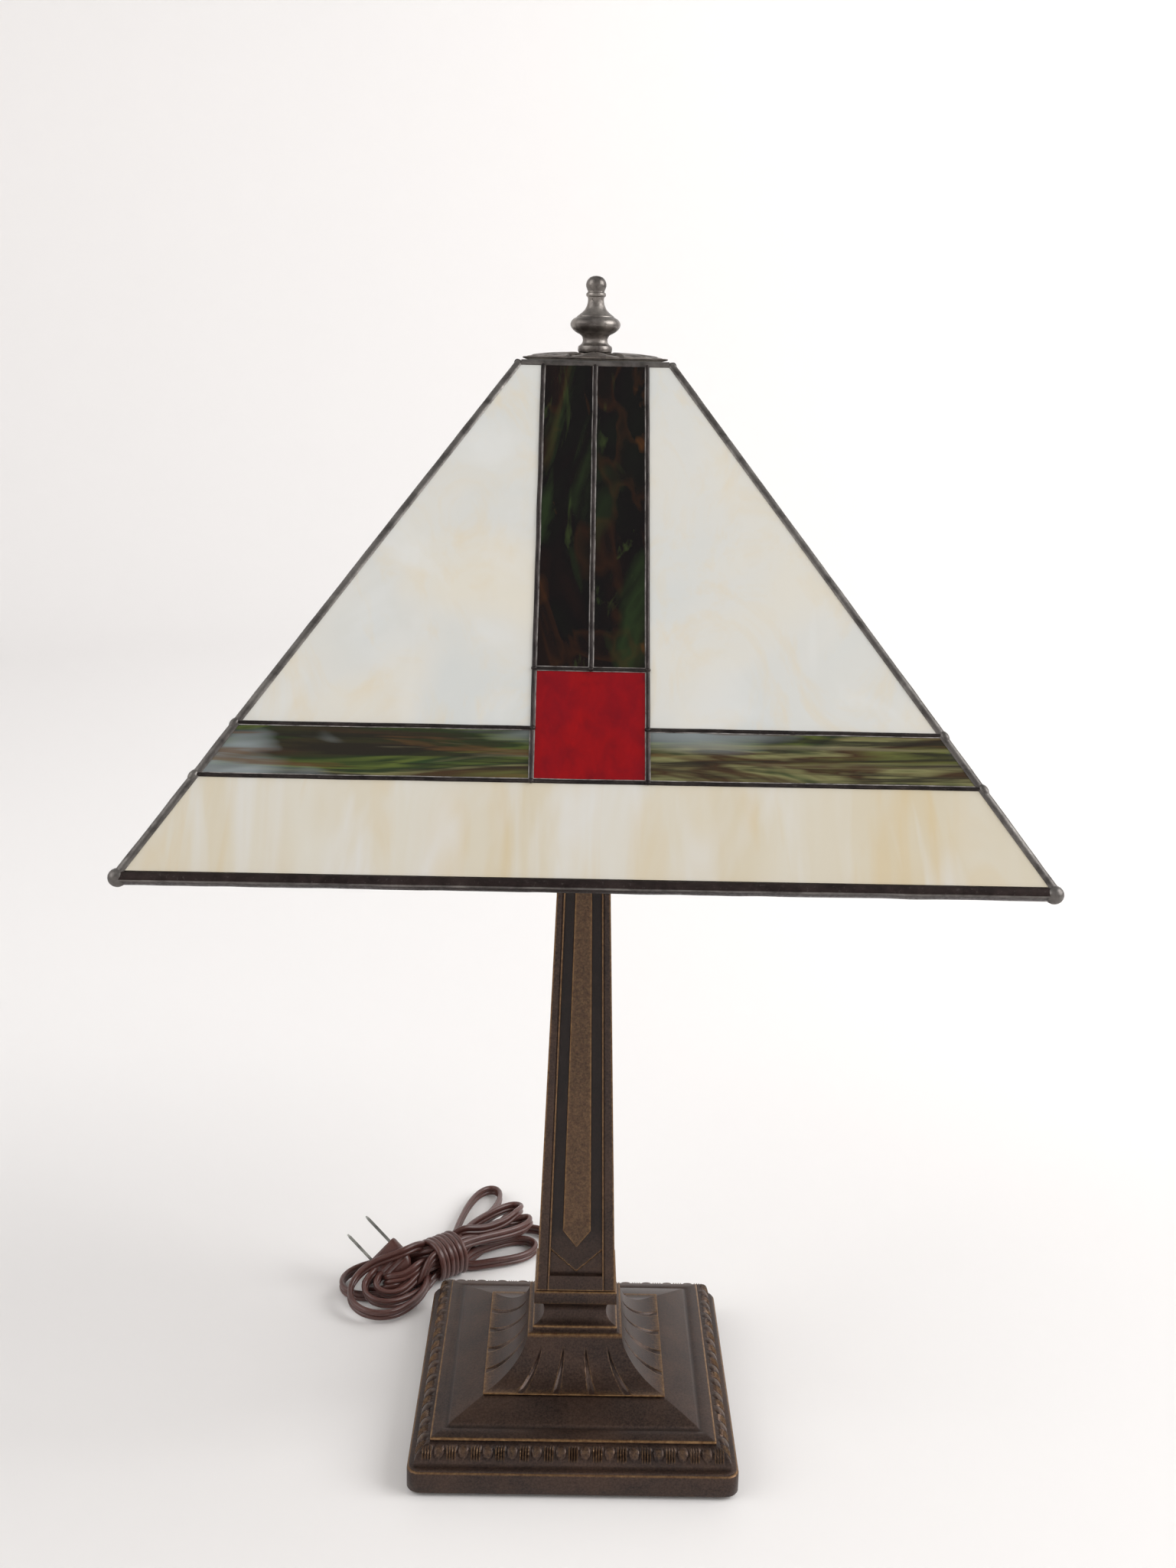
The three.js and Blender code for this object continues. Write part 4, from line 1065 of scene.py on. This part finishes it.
def build_vent_cap():
    """A square plate under a low dome with eight leaves in relief, and between the leaves shallow dips
    painted black: painted shade standing in for open vents.
    """
    # The second material, the black phenolic, paints the vent dips black as painted shade for the dark
    # inside the shade.
    pile = Pile(ANTIQUE, PHENOLIC)
    rows = [(4.2, 460.7), (26.6, 460.7), (27.1, 460.9), (27.2, 461.1), (27.1, 461.3), (26.7, 461.45),
            (25.9, 461.5), (4.2, 461.4)]
    pile.add(*rings([rounded_ring(half, half, 2.2 if half > 5 else half, z, 7) for half, z in rows], True))
    around, steps = 160, 30
    outer, inner, flat_to = DOME["outer"], DOME["inner"], DOME["flat_to"]
    grid, dark = [], []
    for i in range(steps + 1):
        r = inner + (outer - inner) * i / steps
        fall = max((r - flat_to) / (outer - flat_to), 0) ** 2
        for j, (x, y, z) in enumerate(circle(r, DOME["z"] - DOME["fall"] * fall, around)):
            turn = (8 * j / around) % 1
            off_vent = abs(turn - 0.5) / petal(r, *VENT)
            off_leaf = min(turn, 1 - turn) / petal(r, *LEAF)
            if off_vent < 1:
                z -= min((1 - off_vent) * 4, 1)
            elif off_leaf < 1:
                z += 0.55 * math.sqrt(1 - off_leaf ** 2) - 0.3 * math.exp(-(off_leaf / 0.12) ** 2)
            if r > DOME["milled_from"]:
                z += 0.25 * abs(math.sin(20 * math.pi * j / around))
            grid.append((x, y, z))
            dark.append(off_vent < 0.8)
    faces = grid_faces(steps, around, True)
    # Faces wholly inside a vent take the black material: painted shade.
    painted_vent_shade = [int(all(dark[k] for k in face)) for face in faces]
    # The lip round the hole and the skirt round the edge
    base, last = len(grid), steps * around
    for low, high in ((base, 0), (last, base + around)):
        for j in range(around):
            k = (j + 1) % around
            faces.append((low + j, low + k, high + k, high + j))
    grid += circle(inner, 461.0, around) + circle(outer, 461.3, around)
    pile.add(grid, faces, painted_vent_shade + [0] * (2 * around))
    pile.make("vent_plate", "shade", 50, ["vent_cap"])


FINIAL_Z = 463.5
FINIAL = [
    (3.5, 9.5), (3.5, 0), (6.1, 0), (6.5, 0.3), (6.65, 0.9), (6.65, 1.9), (6.4, 2.5), (5.9, 2.8),
    (5.2, 3.4), (4.85, 4.2), (4.8, 4.9), (5.0, 5.7), (5.5, 6.5), (6.3, 7.0), (6.75, 7.15), (7.0, 7.3),
    (7.9, 7.85), (8.8, 8.6), (9.4, 9.4), (9.7, 10.3), (9.65, 11.0), (9.3, 11.8), (8.6, 12.55),
    (7.6, 13.1), (7.2, 13.3), (7.1, 13.6), (6.5, 14.0), (5.5, 14.8), (4.5, 15.7), (3.8, 16.8),
    (3.3, 18.0), (3.1, 19.2), (3.1, 20.2), (3.3, 20.7), (3.7, 21.0), (3.85, 21.5), (3.7, 22.1),
    (3.25, 22.5), (3.2, 22.8), (3.5, 23.5), (3.85, 24.4), (3.95, 25.2), (3.8, 26.1), (3.3, 27.1),
    (2.5, 27.9), (1.4, 28.4), (0, 28.6),
]


def build_finial():
    profile = [(0, FINIAL_Z + 9.5)] + [(r, FINIAL_Z + h) for r, h in FINIAL]
    turned_piece("finial_turned", profile, PEWTER, "finial_body", ["finial"], 72, 30)


# ---------------------------------------------------------------- base and column
def square_rings(pile, rows, corner=0.5, count=3, closed=False):
    """A square moulding from rows of [half its width, height, wear and any corner radius of its own]."""
    sections = [rounded_ring(half, half, own[0] if own else corner, z, count) for half, z, _, *own in rows]
    wear = [row[2] for row, section in zip(rows, sections) for _ in section]
    points, faces = rings(sections, closed)
    pile.add(points, faces, 0, wear)


def four_sides(pile, rows, columns, shape):
    """Four mitred faces from rows of [half, height].

    shape(x, share of the way up, half) gives the push outwards and the wear.
    """
    rows = np.asarray(rows, float)
    along = np.gradient(rows, axis=0)
    along /= np.linalg.norm(along, axis=1)[:, None]
    last = len(rows) - 1
    for turn in range(4):
        around = quarter_turn(turn)
        points, wear = [], []
        for i, (half, z) in enumerate(rows):
            out, up = along[i, 1], -along[i, 0]
            for k in range(columns + 1):
                share = -1 + 2 * k / columns
                x = share * half
                push, rub = shape(x, i / last, half)
                push *= min(1, (half - abs(x)) / 1.5) * min(1, 6 * (last - i) / last, 6 * i / last + 0.3)
                points.append(around @ Vector((x, -(half + out * push), z + up * push)))
                wear.append(rub)
        pile.add(points, grid_faces(last, columns), 0, wear)


OVOLO = {"out": 66.6, "bottom": 12.6, "in": 61.3, "top": 19.5}
EGGS = 12
EGG_PITCH = 2 * OVOLO["in"] / EGGS


def egg_and_dart(x, t, half):
    """Smooth ovals with a group of four fine darts between each two. The dart crests get strong wear that
    lightens them: partly rubbed finish and partly a painted highlight.
    """
    u = (x / EGG_PITCH) % 1 - 0.5
    egg = 1 - (u / 0.22) ** 2 - ((t - 0.62) / 0.34) ** 2
    if egg > 0:
        return 0.5 * math.sqrt(egg), 0.12 + 0.25 * egg
    rise = max(0.0, 1 - abs((t - 0.56) / 0.42) ** 3)
    apart = abs(u) - 0.5
    ridge = max(math.exp(-((apart + at) / 0.032) ** 2) for at in (0.055, 0.165, -0.055))
    # The wear on the dart crests is partly rubbed finish and partly painted highlight.
    return (1.0 * ridge - 0.5) * rise, (1.05 * ridge - 0.25) * rise


def build_base():
    pile = Pile(BRONZE)
    square_rings(pile, [
        (5.6, 20.5, 0, 5.5), (5.6, 27, 0, 5.5), (40.2, 27, 0), (46.5, 25.05, 0), (52.3, 23.15, 0),
        (52.9, 22.8, 0.2), (53.4, 22.2, -0.4), (54.2, 21.85, -0.5), (55.0, 21.9, 0), (55.6, 22.05, 0.15),
        (57.5, 21.75, 0), (59.5, 21.2, 0.2), (60.0, 21.02, 0.9), (60.3, 20.8, 1), (60.42, 20.5, 0.9),
        (60.4, 20.2, 0.25), (60.4, 19.6, 0), (61.3, 19.45, 0), (61.2, 18.6, 0), (57, 15, 0),
        (36, 20.5, 0),
    ], 0.5, 3, True)
    quarter = [(OVOLO["in"] + (OVOLO["out"] - OVOLO["in"]) * math.cos(a),
                OVOLO["bottom"] + (OVOLO["top"] - OVOLO["bottom"]) * math.sin(a))
               for a in (math.pi / 2 * i / 14 for i in range(15))]
    four_sides(pile, quarter, 440, egg_and_dart)
    square_rings(pile, [
        (62.5, 1.3, 0, 5), (68.9, 1.3, 0.1, 5), (69.5, 1.55, 0.3, 5.3), (69.8, 2.1, 0.15, 5.5),
        (69.8, 6, 0, 5.5), (69.75, 10.1, 0, 5.5), (69.65, 10.5, 0.35, 5.5), (69.35, 10.9, 0.85, 5.5),
        (69.0, 11.05, 0.7, 5.5), (68.95, 11.3, 0, 5.5), (68.9, 11.7, 0.1, 5.4), (68.6, 11.9, 0.2, 5.2),
        (67.6, 11.95, 0, 4), (66.7, 12.05, 0, 1), (66.6, 12.65, 0, 0.6), (61.5, 12.6, 0, 0.6),
        (62.5, 11.6, 0, 1),
    ], 5.5, 7, True)
    pile.make("base_cast", "stand", 38, ["base_casting"])


FOOT = {"lip": 39.3, "lip_z": 28.2, "top": 20.8, "top_z": 45.2}
FLUTES, FLUTE_TOP = (-0.6, -0.2, 0.2, 0.6), 0.82


def flutes(x, height, half):
    """Four hollows that narrow up the flare, with rubbed edges beside them and along its lip."""
    push, rub = 0.0, 0.0
    if height < FLUTE_TOP:
        wide = 1.35 * (1 - height / FLUTE_TOP) + 0.34
        for at in FLUTES:
            off = abs(x - at * half * (1 + 0.12 * height)) / wide
            if off < 1:
                push = -0.8 * (1 - off ** 1.6) * min(1, (FLUTE_TOP - height) * 8)
                rub = 0.12
            elif off < 1.35:
                rub = max(rub, 0.5)
    rub = max(rub, 0.95 - 14 * height, 0.42 - 1.6 * height, 13 * (height - 0.93))
    return push, max(rub, 0)


def build_foot():
    pile = Pile(BRONZE)
    flare = []
    for i in range(31):
        t = math.pi / 2 * i / 30
        half = FOOT["top"] + (FOOT["lip"] - FOOT["top"]) * (1 - math.sin(t)) ** 0.86
        flare.append((half, FOOT["top_z"] - (FOOT["top_z"] - FOOT["lip_z"]) * math.cos(t) ** 0.95))
    four_sides(pile, flare, 220, flutes)
    square_rings(pile, [
        (5.6, 27.3, 0, 5.5), (39.0, 27.3, 0.2), (39.35, 27.6, 0.7), (39.4, 28.0, 1), (39.3, 28.2, 1),
        (38.4, 28.0, 0), (20.0, 28.0, 0), (17.5, 44.0, 0), (5.6, 44, 0, 5.5),
    ], 0.3, 3, True)
    neck = [
        (5.6, 44.5, 0, 5.5), (19.5, 44.6, 0), (20.8, 45.1, 1), (20.75, 45.35, 1), (20.45, 45.5, 0.6),
        (18.9, 45.5, 0), (18.7, 45.7, 0), (18.7, 47.2, 0.3), (18.65, 47.6, 1), (18.45, 47.9, 0.9),
        (18.0, 48.1, 0.3), (17.8, 48.25, 0),
    ]
    for i in range(1, 14):
        angle = math.pi * i / 14
        neck.append((17.8 - 4.1 * math.sin(angle), 53.4 - 5.2 * math.cos(angle), 0))
    neck += [
        (17.9, 58.65, 0.1), (18.15, 58.75, 0.5), (18.2, 59.1, 0.3), (18.15, 62, 0), (18.15, 64.0, 0.35),
        (18.05, 64.35, 1), (17.75, 64.6, 0.9), (17.2, 64.62, 0.1), (5.6, 64.6, 0, 5.5),
    ]
    square_rings(pile, neck, 0.3, 3, True)
    pile.make("foot_cast", "stand", 38, ["column_foot"])


POST = {"bottom": 64.9, "top": 262.0, "half_bottom": 17.3, "half_top": 10.7}
SUNK = {"depth": 1.4, "floor": 1.85, "share": 0.68, "from_end": 7.0}
STRAP = {"point": 20.5, "shoulder": 28.5, "half": 6.6, "narrowing": 0.0172, "depth": 0.35}
CHEVRON = {"point": 8.3, "slope": 0.93, "band": 0.9, "rub": 0.85}
POST_HEIGHT = POST["top"] - POST["bottom"]


def post_row(h):
    """One level of a post face: [x, depth, wear] from the left edge to the right edge."""
    half = POST["half_bottom"] + (POST["half_top"] - POST["half_bottom"]) * h / POST_HEIGHT
    low, high = SUNK["from_end"], POST_HEIGHT - SUNK["from_end"]
    panel = half * SUNK["share"]
    strap = STRAP["half"] - STRAP["narrowing"] * h
    if h < STRAP["shoulder"]:
        strap = max(0.0, (h - STRAP["point"]) / (STRAP["shoulder"] - STRAP["point"])) * (
            STRAP["half"] - STRAP["narrowing"] * STRAP["shoulder"])
    end_wear = max(0.0, 1 - h / 0.7)
    left = [(-half, 0.0, 1.0), (-half + 0.3, 0, 0.75), (-half + 0.8, 0, 0.2), (-(half + panel) / 2, 0, 0.1),
            (-panel - 1.1, 0, 0.1), (-panel - 0.9, 0.25, -0.3), (-panel - 0.7, 0.02, 0.2),
            (-panel - 0.25, 0, 0.9)]
    in_panel = low <= h <= high
    across = [-panel, -panel + 0.15, *np.linspace(-panel + 0.8, -strap - 0.6, 18), -strap - 0.06]
    for x in across:
        over = h - CHEVRON["point"] - CHEVRON["slope"] * abs(x)
        depth = SUNK["depth"] if over > 0 else SUNK["floor"]
        black = min(max((h - 20) / 12, 0.3), 0.95)
        wear = -black if over > 0 else 0.0
        if 0 <= over < CHEVRON["band"]:
            wear = CHEVRON["rub"]
        if x == -panel:
            depth, wear = 0.12, 0.75
        left.append((x, depth if in_panel else 0.0, wear if in_panel else 0.1))
    on = strap > 0.14
    for inset, least, wear in ((0.08, 0.06, 0.7), (0.25, 0.05, 1.0), (0.6, 0.03, 0.5), (1.6, 0.02, 0.42)):
        x = -max(strap - inset, least)
        over = h - CHEVRON["point"] - CHEVRON["slope"] * abs(x)
        floor = SUNK["depth"] if over > 0 else SUNK["floor"]
        depth = STRAP["depth"] + (0.12 if inset < 0.1 else 0) if on else floor
        tint = wear if on else (-0.3 if over > CHEVRON["band"] else CHEVRON["rub"] if over > 0 else 0.0)
        left.append((x, depth if in_panel else 0.0, tint if in_panel else 0.1))
    middle = (0.0, left[-1][1], left[-1][2])
    row = left + [middle] + [(-x, depth, wear) for x, depth, wear in reversed(left)]
    return [(x, depth, end_wear if end_wear > wear and h < 0.7 else wear) for x, depth, wear in row]


def build_post():
    """The tapered shaft. On each face a sunk panel, a raised strap with a pointed end and a chevron step."""
    pile = Pile(BRONZE)
    low, high = SUNK["from_end"], POST_HEIGHT - SUNK["from_end"]
    levels = [0, 0.3, 0.7, 1.5, 4, low - 0.7, low - 0.25, low - 0.01, low + 0.14]
    levels += [low + 0.14 + 0.3 * i for i in range(1, 76)]
    levels += list(np.linspace(30, high - 0.15, 30)) + [high + 0.01, high + 0.3, high + 0.8, POST_HEIGHT]
    slope = (POST["half_bottom"] - POST["half_top"]) / POST_HEIGHT
    for turn in range(4):
        around = quarter_turn(turn)
        points, wear = [], []
        for h in levels:
            half = POST["half_bottom"] - slope * h
            for x, depth, rub in post_row(h):
                points.append(around @ Vector((x, -(half - depth), POST["bottom"] + h - depth * slope)))
                wear.append(rub)
        columns = len(points) // len(levels) - 1
        pile.add(points, grid_faces(len(levels) - 1, columns), 0, wear)
    ends = [(17.25, 64.95, 0.5), (5.6, 64.9, 0, 5.5), (5.6, 262, 0, 5.5), (10.68, 261.95, 0)]
    square_rings(pile, ends, 0.1, 3)
    pile.make("post_cast", "stand", 30, ["column_post"])


def build_column_cap():
    pile = Pile(BRONZE)
    square_rings(pile, [
        (5.6, 262.3, 0, 5.5), (12.3, 262.3, 0), (12.8, 262.5, 0.6), (13.0, 262.9, 1), (13.0, 264.7, 0.6),
        (12.9, 265.0, 1), (12.5, 265.2, 0.3), (11.4, 266.2, 0.2), (11.1, 266.4, 0.8), (10.6, 266.4, 0),
        (5.6, 266.4, 0, 5.5),
    ], 0.4, 3, True)
    pile.make("cap_cast", "stand", 38, ["column_cap"])


# ---------------------------------------------------------------- hardware under the shade
FERRULE = {"x": 29.2, "bore": 3.6, "bottom": 281.4, "height": 13}
HARP_HALF = [
    (30, 281.4), (30, 292), (30, 304), (30.6, 318), (37, 334), (45.5, 350), (50.5, 370), (51, 390),
    (46.5, 412), (37.5, 432), (26, 446), (12, 455), (0, 457.4),
]


HARP_WIRE = 1.6


def build_harp():
    pile = Pile(BRASS)
    right = [(x, 0, z) for x, z in HARP_HALF]
    path = spline(right + [(-x, 0, z) for x, z in reversed(HARP_HALF[:-1])], 3.0)
    tangent = np.gradient(path, axis=0)
    tangent /= np.linalg.norm(tangent, axis=1)[:, None]
    sections = []
    for p, t in zip(path, tangent):
        side = np.cross(t, (0, 1, 0))
        sections.append([p + HARP_WIRE * (math.cos(k) * np.array((0, 1, 0)) + math.sin(k) * side)
                         for k in (2 * math.pi * j / 16 for j in range(16))])
    pile.add(*rings(sections))
    seat = [(0, 455.5), (5.2, 455.5), (6.2, 455.9), (6.5, 456.6), (6.5, 459.9), (6.2, 460.3), (3.1, 460.3)]
    for i in range(11):
        z = 460.5 + i
        seat += [(2.75, z), (3.1, z + 0.5)]
    seat += [(2.6, 472), (0, 472)]
    pile.add(*lathe(seat, 40))
    pile.make("harp_bow", "stand", 40, ["harp"])


def build_ferrules():
    low, top = FERRULE["bottom"], FERRULE["bottom"] + FERRULE["height"]
    half = [(FERRULE["bore"], 0), (4.3, 0), (4.5, 0.4), (4.5, 2), (4.2, 2.3), (4.2, 2.9), (4.5, 3.2)]
    profile = [(r, low + h) for r, h in half] + [(r, top - h) for r, h in reversed(half)]
    profile.append(profile[0])
    for side, x in (("left", -FERRULE["x"]), ("right", FERRULE["x"])):
        turned_piece(f"ferrule_sleeve_{side}", profile, BRASS, f"ferrule_{side}",
                     [f"harp_ferrule_{side}"], 40, 30, (x, 0))


def build_socket():
    turned_piece("socket_dome", [
        (5.4, 272.3), (8.6, 272.3), (9.3, 272.6), (11.5, 273.4), (13.4, 274.6), (14.9, 276.2), (16, 278.2),
        (16.5, 280.2), (16.6, 281.4), (16.9, 282), (16.6, 282.6), (16.6, 285.6), (16.4, 286), (15.8, 286),
        (15.8, 281.4), (15.2, 278.6), (12.5, 275.2), (5.4, 273.5), (5.4, 272.3),
    ], BRASS, "stand", ["socket_cap"])
    dress("socket_shell", BRASS, 0.25)
    dress("socket_interior", PHENOLIC, 0.4)
    threads = [(13.5, 303.4), (14, 303.4)]
    for i in range(6):
        threads += [(14, 305 + i * 3.6), (13.75, 306.3 + i * 3.6), (14, 307.6 + i * 3.6)]
    threads += [(14, 327), (13.5, 327), (13.5, 303.4)]
    turned_piece("screw_sleeve", threads, BRASS, "stand", ["screw_shell"], 48, 40)
    pile = Pile(PHENOLIC)
    stem, stem_faces = lathe([(0, 13.4), (2.6, 13.4), (2.6, 24), (2.2, 24.5), (2.2, 25.5), (2.6, 26),
                              (2.6, 30), (0, 30)], 28)
    pile.add([(x, -z, 294 + y) for x, y, z in stem], stem_faces)
    pile.add(*ball((0, -33, 294), (7.5, 6, 2.6), count=32))
    pile.make("turn_key", "switch", 45, ["switch_knob"])


def build_bulb():
    profile = [(0, 305.5), (3.4, 305.5), (4.4, 305.9), (5.2, 306.6), (9, 308.4)]
    for i in range(5):
        z = 309.5 + i * 3.6
        profile += [(12.3, z), (12.5, z + 0.7), (13, z + 1.6), (13, z + 2.0), (12.5, z + 2.9)]
    profile += [(12.3, 328), (12.6, 329), (12.6, 331), (0, 331)]
    turned_piece("bulb_cap", profile, ALUMINIUM, "bulb", ["bulb_base"], 56, 40)
    outer = [(13.2, 0), (14, 5), (17.5, 13), (23, 24), (27.6, 33), (29.7, 41), (30, 48)]
    crown = [math.pi / 2 * i / 10 for i in range(1, 10)]
    outer += [(30 * math.cos(a), 48 + 29.7 * math.sin(a)) for a in crown]
    outer = [tuple(p[:2]) for p in spline([(r, h, 0) for r, h in outer] + [(0, 77.7, 0)], 2.0)]
    outer[-1] = (0, 77.7)
    inner = [(max(r - 1, 0), min(h, 76.7)) for r, h in reversed(outer)]
    profile = [(r, 331.3 + h) for r, h in [(0, 76.7)] + inner[1:] + outer]
    turned_piece("bulb_envelope", profile, OPAL, "bulb", ["bulb_globe"], 64, 50)


build_panes()
build_solder()
build_rim()
build_vent_cap()
build_finial()
build_base()
build_foot()
build_post()
build_column_cap()
build_harp()
build_ferrules()
build_socket()
build_bulb()
dress("felt_pad", FELT, 0.2)
dress("threaded_pipe", STEEL, 0.15)
dress("bottom_washer", STEEL, 0.2)
dress("bottom_nut", STEEL, 0.4)
dress("lock_nut", BRASS, 0.4)
dress("harp_saddle", BRASS, 0.3)


# ---------------------------------------------------------------- floor and light
FLOOR_Z, FLOOR_REACH, WALL_BEND, WALL_TOP = -0.3, 2100, 900, 2600


def build_backdrop():
    """A pale floor that curves up into a wall all round, open at the top."""
    profile = [(r, FLOOR_Z) for r in (0, 400, 1500, FLOOR_REACH)]
    for i in range(1, 13):
        angle = math.radians(90 * i / 12)
        profile.append((FLOOR_REACH + WALL_BEND * math.sin(angle),
                        FLOOR_Z + WALL_BEND * (1 - math.cos(angle))))
    profile.append((FLOOR_REACH + WALL_BEND, WALL_TOP))
    points, faces = lathe(profile, 96)
    mesh = bpy.data.meshes.new("backdrop")
    mesh.from_pydata([tuple(MM * c for c in p) for p in points], [], faces)
    for face in mesh.polygons:
        face.use_smooth = True
    look = Look("backdrop", Roughness=0.9, Specular_IOR_Level=0.2)
    look.set("Base Color", srgb(240, 238, 237))
    mesh.materials.append(look.material)
    obj = bpy.data.objects.new("backdrop", mesh)
    scene.collection.objects.link(obj)


def area_light(name, at, aim, width, height, watts):
    data = bpy.data.lights.new(name, "AREA")
    data.shape = "RECTANGLE"
    data.size, data.size_y = width, height
    data.energy = watts
    obj = bpy.data.objects.new(name, data)
    obj.location = at
    obj.rotation_euler = (Vector(aim) - Vector(at)).to_track_quat("-Z", "Y").to_euler()
    scene.collection.objects.link(obj)


build_backdrop()
area_light("light_left", (-1.5, -0.5, 1.3), (0, 0, 0.25), 1.4, 1.4, 11)
area_light("light_right", (1.6, -0.3, 1.3), (0, 0, 0.25), 1.4, 1.4, 30.5)
area_light("light_wall_left", (-0.9, 1.1, 1.9), (-0.9, 2.9, 0.5), 1.2, 0.5, 0.4)
area_light("light_wall_right", (0.9, 1.1, 1.9), (1.1, 2.9, 0.5), 1.2, 0.5, 20)
world = bpy.data.worlds.new("studio")
world.use_nodes = True
world.node_tree.nodes["Background"].inputs["Color"].default_value = srgb(250, 249, 248)
world.node_tree.nodes["Background"].inputs["Strength"].default_value = 0.53
scene.world = world
